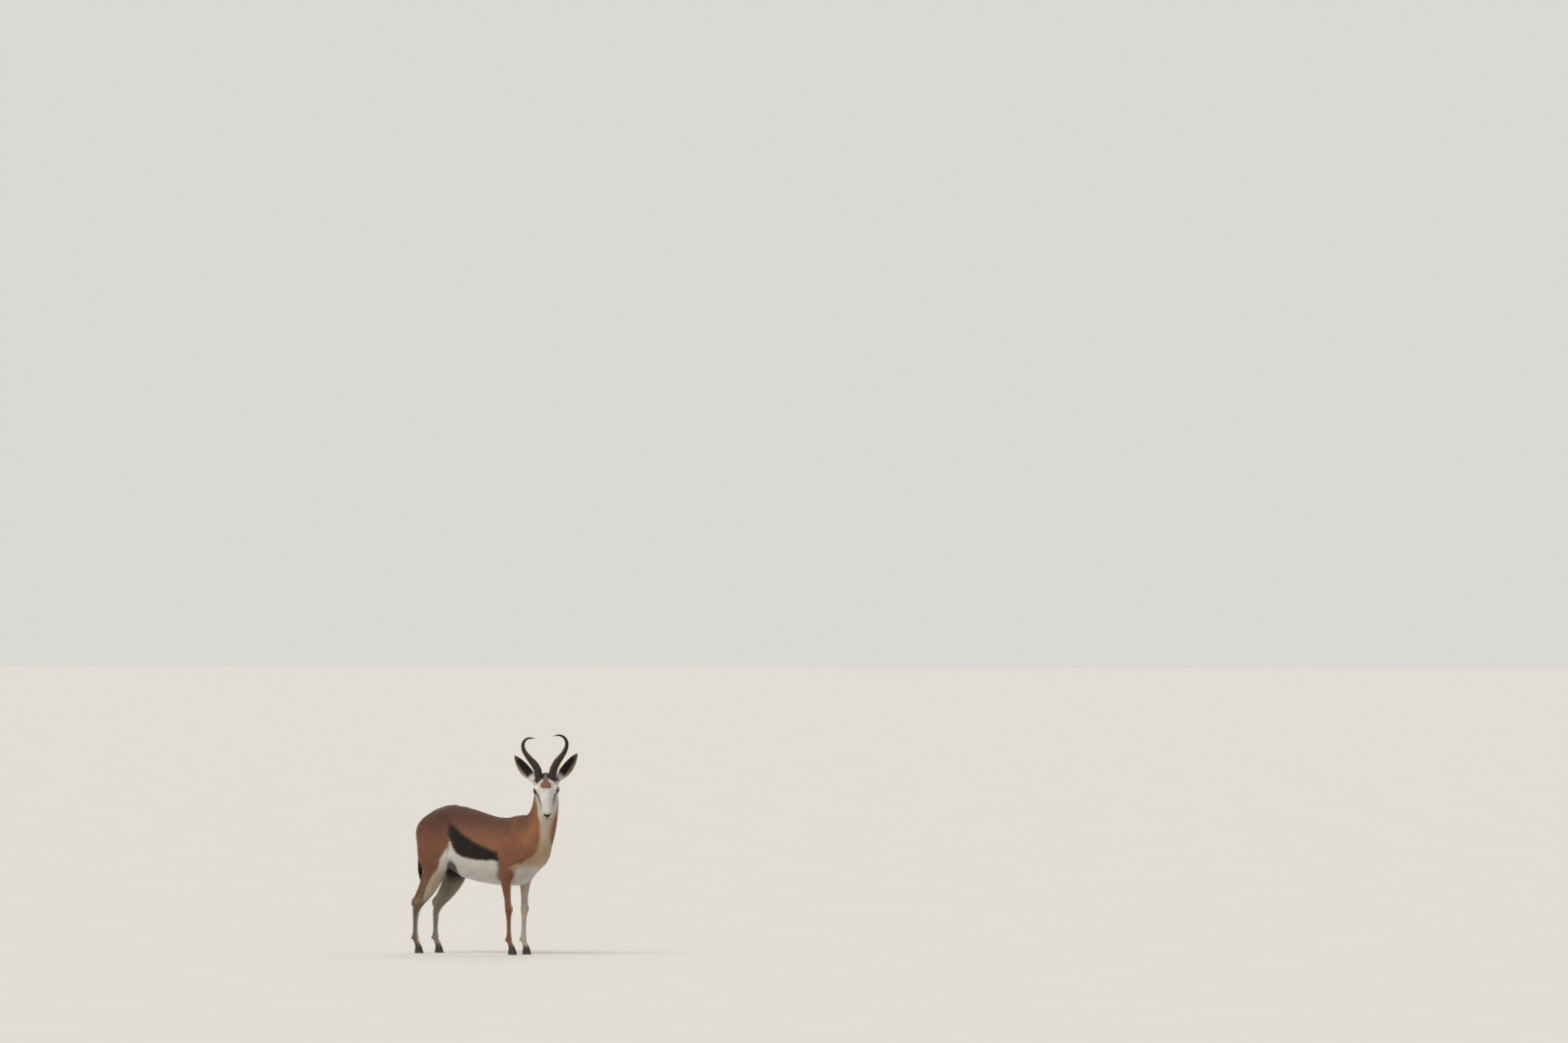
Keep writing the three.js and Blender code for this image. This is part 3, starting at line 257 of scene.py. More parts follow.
def ring_tube(name, places, radius, sides=8):
    """A closed tube round a closed line of places, in metres."""
    count = len(places)
    ahead = unit(np.roll(places, -1, 0) - np.roll(places, 1, 0))
    middle = places.mean(0)
    across = unit(np.cross(ahead, places - middle))
    away = np.cross(across, ahead)
    turn = np.arange(sides) / sides * 2 * np.pi
    ring = (np.cos(turn)[None, :, None] * away[:, None]
            + np.sin(turn)[None, :, None] * across[:, None])
    points = (places[:, None] + radius * ring).reshape(-1, 3)
    at = np.arange(count * sides).reshape(count, sides)
    ahead_at = np.roll(at, -1, 0)
    faces = np.stack([at, ahead_at, np.roll(ahead_at, -1, 1), np.roll(at, -1, 1)], -1).reshape(-1, 4)
    mesh = bpy.data.meshes.new(name)
    mesh.from_pydata(points.tolist(), [], faces.tolist())
    tube = bpy.data.objects.new(name, mesh)
    bpy.context.scene.collection.objects.link(tube)
    edit(tube, lambda: bpy.ops.mesh.normals_make_consistent(inside=False))
    return tube


# The eye: where its middle lies in the head, which way it looks, and the almond between the lids:
# half its length, and its height above and below the slit's middle line.
EYE_RADIUS, SOCKET_RADIUS = 20.5, 19.4
ALMOND = 17.5, 11.5, 9.5
ALMOND_TILT = math.radians(-24)
LID_ROLL, LID_GROW = 1.7, 0.9


def eye_axes(s):
    """An eye's middle in the head's frame, and its axes: along the slit, up, and where it looks."""
    look = unit([0.44, s * 0.87, 0.2])
    along = unit(np.array([1, 0, 0]) - look * look[0])
    up = np.cross(look, along) * s
    c, t = math.cos(ALMOND_TILT), math.sin(ALMOND_TILT)
    return np.array([1, s * 46.5, 7.0]), (along * c + up * t) * s, up * c - along * t, look


def gap_to_eyes(points):
    """How far places in the head's frame are from the middle of the nearer eye."""
    return np.min([np.linalg.norm(points - eye_axes(s)[0], axis=1) for _, s in SIDES], axis=0)


def almond_line(s, grow=0.0, radius=EYE_RADIUS, count=64):
    """The edge of the lids on a ball round the eye, grown by some millimetres."""
    middle, along, up, look = eye_axes(s)
    half, high, low = (size + grow for size in ALMOND)
    t = np.linspace(0, 1, count // 2, endpoint=False)
    top = np.stack([-half + 2 * half * t, 4 * high * t * (1 - t)], 1)
    below = np.stack([half - 2 * half * t, -4 * low * t * (1 - t)], 1)
    flat = np.concatenate([top, below])
    depth = np.sqrt(np.maximum(radius ** 2 - (flat ** 2).sum(1), 1))
    return middle + flat[:, :1] * along + flat[:, 1:] * up + depth[:, None] * look


def horn_seat(s):
    """Where the middle of a horn leaves the brow, as a place on the body."""
    return from_head([-45, s * 34, 43])


# The head and the upper neck are made fine, with lid rolls, the sockets filled and the horns'
# roots in place; the rest is made rougher.
NECK_SEAM = np.array([461.0, 8.0, 776.0])
SEAM_AXIS = unit(head_forward * 0.6 + np.array([0, 0, 0.8]))
OVERLAP, EAR_OVERLAP, ROOT_SWELL = 0.0005, 0.0007, -0.0004
ROOT_HEIGHT = 9
FINE_VOXEL, ROUGH_VOXEL = 1.35 * MM, 3.6 * MM
upper_neck = merged_copy("neck", "upper_neck", OVERLAP)
cut(upper_neck, NECK_SEAM - SEAM_AXIS * 22, SEAM_AXIS, True, True)
fine = [merged_copy("head", "fine_head", OVERLAP), upper_neck]
fine += [merged_copy(ear, f"fine_{ear}", EAR_OVERLAP) for ear in EARS]
horn_aims = {}
for side, s in SIDES:
    bpy.ops.mesh.primitive_uv_sphere_add(segments=48, ring_count=24, radius=SOCKET_RADIUS * MM,
                                         location=metres(from_head(eye_axes(s)[0])))
    socket = bpy.context.object
    bpy.ops.object.transform_apply(location=True, rotation=True, scale=True)
    fine.append(socket)
    lid = almond_line(s, LID_GROW, EYE_RADIUS + LID_GROW)
    fine.append(ring_tube(f"lid_{side}", metres(from_head(lid)), LID_ROLL * MM))
    horn_aims[side] = unit(np.array([-17, s * 4, 25.0]) @ head_turn.T)
    root = merged_copy(f"horn_{side}", f"root_{side}", ROOT_SWELL)
    cut(root, horn_seat(s) + horn_aims[side] * ROOT_HEIGHT, horn_aims[side], False, True)
    fine.append(root)
fine_head = joined(fine, "fine_head")
finished(fine_head, "REMESH", mode="VOXEL", voxel_size=FINE_VOXEL, use_smooth_shade=True)
rough_body = joined([merged_copy(name, f"rough_{name}", OVERLAP)
                     for name in FLESH if name not in ("head", *EARS)], "rough_body")
finished(rough_body, "REMESH", mode="VOXEL", voxel_size=ROUGH_VOXEL, use_smooth_shade=True)


def nearest_nodes(names):
    """A search tree over these solids, and which solid each of its triangles is from."""
    corners, triangles, owner = [], [], []
    for index, name in enumerate(names):
        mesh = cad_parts[name].data
        mesh.calc_loop_triangles()
        start = len(corners)
        corners += [v.co.copy() for v in mesh.vertices]
        triangles += [tuple(start + v for v in t.vertices) for t in mesh.loop_triangles]
        owner += [index] * len(mesh.loop_triangles)
    return BVHTree.FromPolygons(corners, triangles), np.array(owner)


flesh_tree, flesh_owner = nearest_nodes(FLESH)


def flesh_at(points):
    """For each place the index of the nearest solid in FLESH."""
    return flesh_owner[[flesh_tree.find_nearest(Vector(p))[2] for p in points]]


def is_from(owner, *names):
    """Which entries of a list of numbers in FLESH stand for these solids."""
    return np.isin(owner, [FLESH.index(name) for name in names])


def smoothed(piece, weights, rounds):
    """Smooths a piece, each vertex by its own weight."""
    group = piece.vertex_groups.new(name="soft")
    for level in np.unique(np.round(weights, 2)):
        members = np.nonzero(np.round(weights, 2) == level)[0]
        group.add(members.tolist(), float(level), "REPLACE")
    finished(piece, "SMOOTH", factor=0.5, iterations=rounds, vertex_group="soft")
    piece.vertex_groups.clear()


# The solids' facets are smoothed away, most on the trunk and least where the form is thin.
SOFTNESS = {"torso": 1.0, "rump": 1.0, "neck": 0.7, "tail": 0.1, "head": 0.0}
BODY_ROUNDS, HEAD_ROUNDS, SEAM_ROUNDS = 34, 90, 24
rough_at = flesh_at(points_of(rough_body))
height = millimetres(points_of(rough_body))[:, 2]
softness = np.array([SOFTNESS.get(name, -1) for name in FLESH])[rough_at]
softness = np.where(softness < 0, 0.08 + 0.72 * ease(height, 330, 560), softness)    # the legs
smoothed(rough_body, softness, BODY_ROUNDS)
fine_at = flesh_at(points_of(fine_head))
softness = np.where(is_from(fine_at, "neck"), 1.0, 0.12)
softness = np.where(is_from(fine_at, *EARS), 0.06, softness)
softness = np.where(gap_to_eyes(to_head(millimetres(points_of(fine_head)))) < 30, 0.05, softness)
smoothed(fine_head, softness, HEAD_ROUNDS)

# The two are cut at one plane and sewn rim to rim, so the hide has no seam.
cut(fine_head, NECK_SEAM, SEAM_AXIS, True, False)
cut(rough_body, NECK_SEAM, SEAM_AXIS, False, False)
HEAD_FACES, BODY_FACES = 94000, 98000
NECK_REACH = 125
for piece, wanted in ((fine_head, HEAD_FACES), (rough_body, BODY_FACES)):
    piece.data.calc_loop_triangles()
    finished(piece, "DECIMATE", ratio=min(wanted / len(piece.data.loop_triangles), 1.0))
skin = joined([rough_body, fine_head], "skin")


def sewn(piece, middle, axis):
    """Closes the gap between a piece's two open rims, stitch by stitch round its axis."""
    mesh = bmesh.new()
    mesh.from_mesh(piece.data)
    open_edges = {e for e in mesh.edges if e.is_boundary}
    rims = []
    while open_edges:
        first, here = open_edges.pop().verts
        rim = [first]
        while here is not first:
            rim.append(here)
            edge = next(e for e in here.link_edges if e in open_edges)
            open_edges.discard(edge)
            here = edge.other_vert(here)
        rims.append(rim)
    rims = sorted(rims, key=len)[-2:]
    one = unit(np.cross(axis, [0, 1, 0]))
    two = np.cross(axis, one)
    for k, rim in enumerate(rims):
        away = np.array([v.co for v in rim]) - middle
        angle = np.unwrap(np.arctan2(away @ two, away @ one))
        if angle[-1] < angle[0]:
            rim, angle = rim[::-1], angle[::-1]
        start = int(np.argmin(angle % (2 * np.pi)))
        rim, angle = rim[start:] + rim[:start], np.unwrap(np.roll(angle, -start))
        angle = angle - 2 * np.pi * np.floor(angle[0] / (2 * np.pi))
        rims[k] = rim + rim[:1], np.append(angle, angle[0] + 2 * np.pi)
    (rim_a, angle_a), (rim_b, angle_b) = rims
    i = j = 0
    while i < len(rim_a) - 1 or j < len(rim_b) - 1:
        step_a = j == len(rim_b) - 1 or (i < len(rim_a) - 1 and angle_a[i + 1] <= angle_b[j + 1])
        mesh.faces.new((rim_a[i], rim_b[j], rim_a[i + 1] if step_a else rim_b[j + 1]))
        i, j = (i + 1, j) if step_a else (i, j + 1)
    bmesh.ops.recalc_face_normals(mesh, faces=mesh.faces)
    mesh.to_mesh(piece.data)
    mesh.free()


sewn(skin, metres(NECK_SEAM), SEAM_AXIS)
# Only the largest closed surface is the hide; loose scraps inside it are dropped.
edit(skin, bpy.ops.mesh.quads_convert_to_tris, lambda: bpy.ops.mesh.separate(type="LOOSE"))
parted = [o for o in bpy.context.selected_objects if o.type == "MESH"]
skin = max(parted, key=lambda o: len(o.data.vertices))
for scrap in parted:
    if scrap is not skin:
        bpy.data.objects.remove(scrap)
skin.name = skin.data.name = "skin"
place = millimetres(points_of(skin))
seam_gap = np.abs((place - NECK_SEAM) @ SEAM_AXIS)
near_neck = np.linalg.norm(place - NECK_SEAM, axis=1) < NECK_REACH
smoothed(skin, np.where(near_neck, ease(seam_gap, 30, 6), 0), SEAM_ROUNDS)

place = millimetres(points_of(skin))
outward = points_of(skin, "normal")
region = flesh_at(points_of(skin))
in_head = to_head(place)
is_ear = is_from(region, *EARS)
is_head = is_ear | is_from(region, "head")
is_leg = is_from(region, *LEGS)


def from_line(points, line):
    """How far each point is from a line of stops, and the share of the line it lies at."""
    best = np.full(len(points), np.inf)
    share = np.zeros(len(points))
    line = np.asarray(line, float)
    for i, (a, b) in enumerate(zip(line[:-1], line[1:])):
        t = np.clip((points - a) @ (b - a) / ((b - a) @ (b - a)), 0, 1)
        gap = np.linalg.norm(points - a - t[:, None] * (b - a), axis=1)
        share = np.where(gap < best, (i + t) / (len(line) - 1), share)
        best = np.minimum(best, gap)
    return best, share


move = np.zeros(len(place))                # outwards, in millimetres


def press(line, width, depth, s=None, only=~is_head):
    """Presses a furrow into the hide along a line seen from the side, given as x and height, on
    the side s or on both; a depth below 0 raises a ridge."""
    gap, share = from_line(place[:, [0, 2]], line)
    ends = np.sin(np.pi * np.clip(share * 0.9 + 0.05, 0, 1)) ** 0.5
    facing = ease(np.abs(outward[:, 1]), 0.15, 0.6)
    sides = 1 if s is None else (place[:, 1] * s > 0)
    move[:] -= depth * np.exp(-(gap / width) ** 2) * ends * facing * sides * only


LEFT_LEAD = 27                             # the left hind foot stands this much further forward
THIGH_LEAD = LEFT_LEAD * 0.85
trunk_like = ~is_head & ~is_leg
for line, width, depth in (
    ([(268, 694), (236, 640), (222, 570), (226, 505), (246, 462)], 17, 5.0),      # behind the shoulder
    ([(324, 706), (352, 660), (384, 612), (402, 560)], 13, 4.0),                  # before the shoulder blade
    ([(300, 690), (318, 640), (342, 590), (362, 556)], 11, -3.2),                 # spine of the blade
    ([(252, 600), (268, 560), (296, 528), (330, 516)], 12, 2.2),                  # over the triceps
    ([(330, 500), (306, 470), (290, 430)], 9, 2.2),                               # before the upper arm
    ([(-84, 706), (-78, 650), (-92, 590), (-112, 540)], 15, 5.0),                 # fold of the flank
    ([(-60, 716), (-30, 700), (-6, 700)], 32, 4.0),                               # hollow before the hip
    ([(-128, 752), (-150, 738)], 17, -4.0),                                       # point of the hip
    ([(-256, 716), (-284, 650), (-288, 580), (-268, 505), (-262, 450)], 13, 4.2),     # between the hams
    ([(-150, 700), (-176, 640), (-178, 580), (-160, 530)], 18, 2.4),              # before the thigh muscle
):
    press(line, width, depth)
for rib in range(20, 225, 26):
    press([(rib - 14, 690), (rib + 2, 600), (rib + 22, 500)], 8.5, 1.1, only=trunk_like)
for side, s in SIDES:
    # Along each hind leg: before the heel's cord, before the shin, and beside the cannon's cord.
    hind = is_from(region, f"hindleg_upper_{side}", f"hindleg_lower_{side}", "rump")
    for line, lead, width, depth in (
        ([(-268, 424), (-304, 368), (-346, 312), (-366, 276)], THIGH_LEAD, 7, 4.0),
        ([(-196, 440), (-226, 392), (-262, 340)], THIGH_LEAD, 10, 1.8),
        ([(-376, 214), (-379, 110)], LEFT_LEAD, 3.6, 1.2),
    ):
        press([(along + lead * (s > 0), up) for along, up in line], width, depth, s, hind)
    # Down each foreleg: between the forearm's muscles, twice, and beside the cannon's cord.
    front = is_from(region, f"foreleg_upper_{side}", f"foreleg_lower_{side}")
    for line, width, depth in (([(262, 446), (252, 392), (258, 330)], 7, 2.2),
                               ([(284, 420), (274, 352), (272, 290)], 6, 1.2),
                               ([(262, 205), (262, 110)], 3.4, 1.2)):
        press(line, width, depth, s, front)
# The jugular furrow, and the edge of the neck's upper muscle.
press([(458, 806), (450, 740), (424, 672), (392, 610)], 13, 3.4, only=trunk_like)
press([(430, 820), (408, 756), (372, 706)], 16, 1.8, only=trunk_like)
# The skin gathers in a few soft folds where the neck turns to the right.
for reach in (0, 17, 33):
    line = [(x - reach, up - reach * fall)
            for x, up, fall in ((452, 786, 0.5), (478, 800, 0.8), (505, 790, 1))]
    press(line, 4.2, 1.6, -1, only=is_from(region, "neck"))

# Details of the face, in the head's own frame.
head_tree = BVHTree.FromPolygons(points_of(skin).tolist(), [tuple(p.vertices) for p in skin.data.polygons])


def on_face(start, towards):
    """Where a ray from inside the head leaves its surface, in the head's frame."""
    origin = Vector(metres(from_head(start)))
    hit = head_tree.ray_cast(origin, Vector(unit(towards) @ head_turn.T))
    return to_head(millimetres(hit[0]))


def dent(line, width, depth):
    """Presses a furrow along a line on the face, or raises a ridge."""
    gap, _ = from_line(in_head, line)
    move[:] -= depth * np.exp(-(gap / width) ** 2) * (is_head & ~is_ear)


LIP_MIDDLE, NOSE_MIDDLE = [108, 0, -42], [124, 0, -12]
NOSTRIL = ((0.2, -0.12), (0.34, -0.06), (0.52, 0.08), (0.76, 0.22), (1.05, 0.26))
mouth_line = [on_face(LIP_MIDDLE, [math.cos(math.radians(t)), math.sin(math.radians(t)),
                                   -0.06 - 0.2 * (t / 128) ** 2]) for t in range(-124, 125, 8)]
nostril_line = {s: [on_face(NOSE_MIDDLE, [1, s * out, up]) for out, up in NOSTRIL] for _, s in SIDES}
cleft_line = [on_face([124, 0, -20], [1, 0, up]) for up in (-0.12, -0.3, -0.5, -0.7)]
dent(mouth_line, 1.6, 2.4)
dent([p + [0, 0, 4.5] for p in mouth_line[6:-6]], 3.0, -0.9)
dent([p - [0, 0, 5.0] for p in mouth_line[8:-8]], 3.2, -1.0)
dent(cleft_line, 1.5, 1.6)
for _, s in SIDES:
    dent(nostril_line[s], 2.1, 4.2)
    dent([p + [-2.5, s * 2.2, 4.6] for p in nostril_line[s]], 2.4, -1.5)
    # The folds over and under the lids, the ridge above the upper one, and the tear gland's mark.
    middle, along, _, look = eye_axes(s)
    crease = almond_line(s, 5.6, EYE_RADIUS + 3)
    dent(crease[2:31], 1.5, 1.6)
    dent(almond_line(s, 9.5, EYE_RADIUS + 3)[3:30], 2.6, -1.8)
    dent(crease[34:62], 1.5, 1.0)
    corner = middle + along * s * 19.5 + look * 9
    dent([corner, corner + [9, s * -5.0, -3], corner + [22, s * -9.5, -7]], 2.6, 1.9)
    # The cheekbone, the side of the nose, behind the jaw, and before the cheek's muscle.
    dent([[34, s * 34, -16], [60, s * 32, -22], [84, s * 29, -27]], 5.0, -1.4)
    dent([[50, s * 17, 31], [80, s * 15, 22], [108, s * 13, 13]], 5.0, 1.0)
    dent([[-66, s * 46, -46], [-44, s * 48, -70], [-14, s * 44, -80]], 6.0, 1.4)
    dent([[10, s * 40, -30], [24, s * 37, -52], [34, s * 30, -68]], 6.0, 1.2)

# The coat's depth is taken off all over, least at the ears and nothing at the lids.
COAT_DEPTH = {"torso": 3.2, "rump": 3.2, "neck": 3.0, "tail": 1.2}
coat_depth = np.array([COAT_DEPTH.get(name, 1.1) for name in FLESH])[region]
coat_depth = np.where(is_leg, 1.1 + 1.9 * ease(place[:, 2], 320, 520), coat_depth)
coat_depth = np.where(is_head, 1.1, coat_depth)
coat_depth = np.where(is_ear, 0.6, coat_depth)
eye_gap = gap_to_eyes(in_head)
coat_depth *= ease(eye_gap, 26, 34)


def neighbours_mean(values, rounds):
    """Evens a value out over the hide's edges."""
    ends = np.empty(len(skin.data.edges) * 2, np.int32)
    skin.data.edges.foreach_get("vertices", ends)
    a, b = ends.reshape(-1, 2).T
    many = len(place)
    count = np.bincount(a, minlength=many) + np.bincount(b, minlength=many)
    values = np.array(values, float)
    flat = values.reshape(many, -1)
    for _ in range(rounds):
        for v in flat.T:
            v[:] = (np.bincount(a, v[b], minlength=many)
                    + np.bincount(b, v[a], minlength=many)) / np.maximum(count, 1)
    return flat.reshape(values.shape)


coat_depth = neighbours_mean(coat_depth, 8)
set_points(skin, metres(place + outward * (move - coat_depth)[:, None]))
smoothed(skin, np.where(is_head, 0.4, 1.0), 2)
place = millimetres(points_of(skin))
outward = points_of(skin, "normal")
in_head = to_head(place)

# ---- The markings. Cinnamon above and white below, with a blackish-brown band between them along
# the flank; the face is white with a dark line from eye to mouth and a rusty patch on the brow.
# They are laid on the hide, and each hair takes the colour of the hide at its root.
COAT = {name: np.array(linear(colour)) for name, colour in {
    "flank": "#8f5f45", "back_shade": "#543a30", "haunch": "#7f543e", "shoulder": "#8a5b44", "neck": "#9a6a4a",
    "nape_shade": "#5f4334", "band": "#1f1715", "white": "#dbd8d1", "cream": "#c3a88b", "beige": "#b5a48e",
    "shank": "#83573d", "rust": "#844a30", "black": "#171312", "line": "#241b18", "ear_back": "#9c8267",
    "ear_tip": "#6e4c33", "ear_dark": "#1f1b1b", "muzzle": "#d0ccc4", "pad": "#181413",
    "rump_edge": "#412c23", "crown": "#5c3f2e", "groin_skin_and_shadow": "#2b2c2d", "pale": "#c9c3ba", "hock": "#5d4838",
    "gaskin": "#735c48", "inner_leg_shade": "#8d8270"}.items()}


def ripple(points, size, seed):
    """Soft random values between about -1 and 1 that change over this many millimetres."""
    rng = np.random.default_rng(seed)
    total = np.zeros(len(points))
    for octave in range(4):
        ways = rng.normal(size=(2, 3))
        phase = points @ ways.T * (2 * np.pi / size) * 0.55 * 1.9 ** octave + rng.uniform(0, 6.28, 2)
        total += np.sin(phase).sum(1) * 0.5 * 0.7 ** octave
    return total / 1.6


def ear_axes(s):
    """The foot of an ear, its reach to the tip, and the ways it opens and spreads."""
    foot = from_head([-66, s * 56, -10])
    reach = head_left * s * (109 - s * 2) - head_forward * 12 + np.array([0, 0, 139.0 + s * 3])
    along = unit(reach)
    opened = head_forward + head_left * s * 0.35
    opened = unit(opened - along * (opened @ along))
    return foot, reach, opened, np.cross(along, opened)


def share_of(names, rounds=9):
    """How much each place on the hide belongs to these solids, evened out across their joins."""
    return neighbours_mean(is_from(region, *names).astype(float), rounds)


def between(where, *stops):
    """A value given as (where, value) stops, read at each place."""
    return np.interp(where, *zip(*stops))


def off_turn(degrees):
    """How many degrees a place round the neck is from this one, whichever way is nearer."""
    return np.abs((turn - degrees + 180) % 360 - 180)


def by_horn(s, side):
    """How far each place on the hide is from a horn's axis, and how far up along it."""
    gap = place - horn_seat(s)
    rise = gap @ horn_aims[side]
    return np.linalg.norm(gap - rise[:, None] * horn_aims[side], axis=1), rise


def by_lids(s, grow):
    """How far each place on the hide is from the closed line of an eye's lids."""
    return from_line(in_head, np.concatenate([almond_line(s, grow, EYE_RADIUS + 2.5)] * 2)[:65])[0]


def lay(name, share):
    """Lays one of the coat's colours where the share is 1."""
    coat_colour[:] += (COAT[name] - coat_colour) * np.clip(share, 0, 1)[:, None]


region = flesh_at(points_of(skin))
x, y, z = place.T
nx, ny, nz = outward.T
side_of = np.where(y < 0, -1.0, 1.0)
outer = ny * side_of
jitter, fine_jitter = ripple(place, 26, 3), ripple(place, 9, 4)
wave = jitter * 3.5 + fine_jitter * 2         # the borders' own waviness, in millimetres
hind = share_of([n for n in LEGS if n.startswith("hind")])
fore = share_of([n for n in LEGS if n.startswith("fore")])
throat = share_of(["neck"], 14)
rump = share_of(["rump"])
tail = share_of(["tail"], 2)
head = share_of(["head", *EARS], 6)
trunk = np.clip(1 - hind - fore - throat - head, 0, 1)
coat_colour = np.tile(COAT["flank"], (len(place), 1))

lay("haunch", ease(x, -60, -150))
lay("shoulder", ease(x, 215, 280))
lay("neck", ease(x + (z - 640) * 0.5, 340, 410))
# The upper flank and the back are darkened, most where the hide faces up: painted shade.
lay("back_shade", ease(z + wave, 590, 735) * 0.85 * ease(x, 345, 290))
lay("back_shade", ease(nz, 0.3, 0.95) * ease(z, 640, 700) * 0.5)
# The middle line of the neck, from the chest to behind the jaw.
axis_x = between(z, (480, 344), (560, 370), (628, 411), (700, 444), (770, 466), (828, 477), (866, 476))
axis_y = between(z, (480, 0), (700, 0), (770, -1), (828, -4), (866, -9), (900, -11))
turn = np.degrees(np.arctan2(y - axis_y, x - axis_x))
# The nape is darker: its own darker hair, widened round the side of the neck as painted shade.
from_nape = off_turn(between(z, (650, 180), (860, 128)))
upper = np.clip(throat + trunk * ease(x, 320, 350), 0, 1)
lay("nape_shade", ease(from_nape, 112, 40) * upper * ease(z, 600, 700) * 0.85)

# The band along the flank and the white belly, both ending behind the elbow.
under = between(x, (-120, 652), (-88, 616), (-70, 578), (-44, 544), (13, 517), (98, 504), (227, 500))
over = between(x, (-104, 706), (-88, 692), (-40, 664), (13, 634), (98, 594), (179, 563), (231, 549),
               (300, 543))
elbow = between(z, (400, 268), (432, 262), (547, 240), (700, 232))
flank = trunk * ease(x, elbow + 7, elbow - 5)
wavy_z = z + wave
lay("band", flank * ease(x, -112, -84) * ease(wavy_z, over + 9, over - 9)
    * ease(wavy_z, under - 6, under + 6))
lay("white", flank * ease(x - (z - 560) * 0.25, -102, -90) * ease(wavy_z, under + 5, under - 6))
# The brisket and the chest, up to a line from the forearm to the throat.
breast = between(x, (270, 432), (292, 451), (343, 477), (417, 502), (450, 534), (480, 556))
lay("cream", trunk * ease(x, 272, 292) * ease(wavy_z, breast + 7, breast - 7))
lay("pale", trunk * ease(x, 272, 292) * ease(wavy_z, breast - 22, breast - 58) * 0.8)
lay("white", trunk * ease(nz, -0.4, -0.85) * ease(x, -110, -80) * ease(z, 500, 450))
# Up the neck's front the white is a stripe that turns with the neck: its middle and its half
# width in degrees, and how many degrees each place is off the middle.
middle = between(z, (480, 0), (554, -9), (631, -22), (682, -31), (720, -38), (770, -45), (820, -50),
                 (880, -52))
width = between(z, (500, 60), (530, 34), (554, 20), (631, 15), (682, 19), (720, 30), (760, 46), (800, 60),
                (830, 74))
off = off_turn(middle) + jitter * 2.5
hx, hy, hz = in_head.T
behind = ease(hx + 0.25 * (hz + 40) + jitter * 2, -58, -76)
front = np.clip(throat + trunk * ease(x, 370, 390), 0, 1) * (1 - behind * ease(hz, -80, -55))
lay("cream", front * ease(off, width + 7, width - 5) * ease(z, 490, 520))
lay("pale", front * ease(off, width, width - 14) * ease(z, 560, 640) * 0.5)
lay("white", front * ease(off, width + 2, width - 12) * ease(z, 690, 780) * 0.9)

# Legs: a tawny outer side, white within; white down the front of the thigh and the gaskin.
lead = np.where(y > 0, LEFT_LEAD * ease(640 - z, 0, 370), 0)
thigh = between(x - lead, (-345, 236), (-312, 262), (-280, 325), (-243, 388), (-178, 452), (-146, 514),
                (-100, 584), (-86, 604))
pale_front = ease(wavy_z, thigh + 6, thigh - 8) * ease(x - lead, -352, -330)
rear = np.clip(hind + rump * ease(z, 660, 620), 0, 1)
lay("haunch", hind * ease(z, 640, 560) * 0.8 * (1 - pale_front))
lay("gaskin", hind * ease(z, 440, 340) * 0.75 * (1 - pale_front))
lay("beige", rear * pale_front)
lay("white", rear * pale_front * ease(wavy_z, thigh - 4, thigh - 24) * ease(z, 400, 500) * 0.85)
shin = ease(outer * 0.87 - nx * 0.4, -0.05, 0.45)
cannon = hind * ease(z, 300, 258)
lay("beige", cannon)
lay("hock", cannon * shin * 0.85)
lay("white", hind * ease(outer, -0.05, -0.5) * ease(z, 600, 540))
# The inner sides of the lower hind legs are greyed as painted shade.
lay("inner_leg_shade", hind * ease(outer, -0.05, -0.5) * ease(z, 440, 380) * 0.9)
lay("white", rump * ease(nz, -0.3, -0.8) * ease(z, 640, 560))
# The groin is dark, partly its thinly haired skin and partly painted shadow: on the thighs' inner sides, and
# at the belly's end, on the right and just past the middle, between two lines along what the camera sees as
# left to right.
groin_skin_and_shadow = ease(outer, 0.0, -0.3) * ease(z, 358, 425) * ease(z, 640, 560) * ease(x - lead, -305, -262)
lay("groin_skin_and_shadow", np.clip(hind + rump, 0, 1) * groin_skin_and_shadow)
seen_along = 0.788 * x + 0.616 * y
rear_line = between(z, (387, -184), (451, -162), (560, -134))
rear_line_in = between(z, (387, -174), (451, -152), (560, -126))
top_line = between(seen_along, (-131, 573), (-118, 508), (-99, 458), (-74, 420), (-54, 390))
top_line_in = between(seen_along, (-131, 557), (-118, 492), (-99, 442), (-74, 404), (-54, 374))
groin_skin_and_shadow = ease(seen_along, rear_line, rear_line_in) * ease(z + wave * 0.5, top_line, top_line_in)
lay("groin_skin_and_shadow", groin_skin_and_shadow * ease(y, -110, -96) * ease(y, 45, 20) * ease(z, 350, 420)
    * ease(seen_along, -50, -80) * 0.88)
arm = ease(outer - nx * 0.12 + fine_jitter * 0.06, -0.02, 0.42)
lay("cream", fore * ease(z, 470, 430))
lay("shank", fore * arm * ease(z, 480, 450))
lay("shoulder", fore * arm * ease(z, 330, 440))
lay("pale", fore * ease(outer, 0.1, -0.5) * ease(z, 420, 320) * 0.7)
# Shade is painted dark into the crease behind the elbow; the false hooves and the hair over the hooves are
# dark of their own.
lay("band", np.exp(-((x - 246) / 18) ** 2 - ((z - 478) / 30) ** 2) * ease(outer, -0.2, 0.3) * 0.7)
lay("line", np.clip(fore + hind, 0, 1) * ease(z, 92, 82) * ease(z, 68, 78) * ease(nx, -0.35, -0.7))
lay("rump_edge", np.clip(fore + hind, 0, 1) * ease(z, 58, 40) * 0.7)
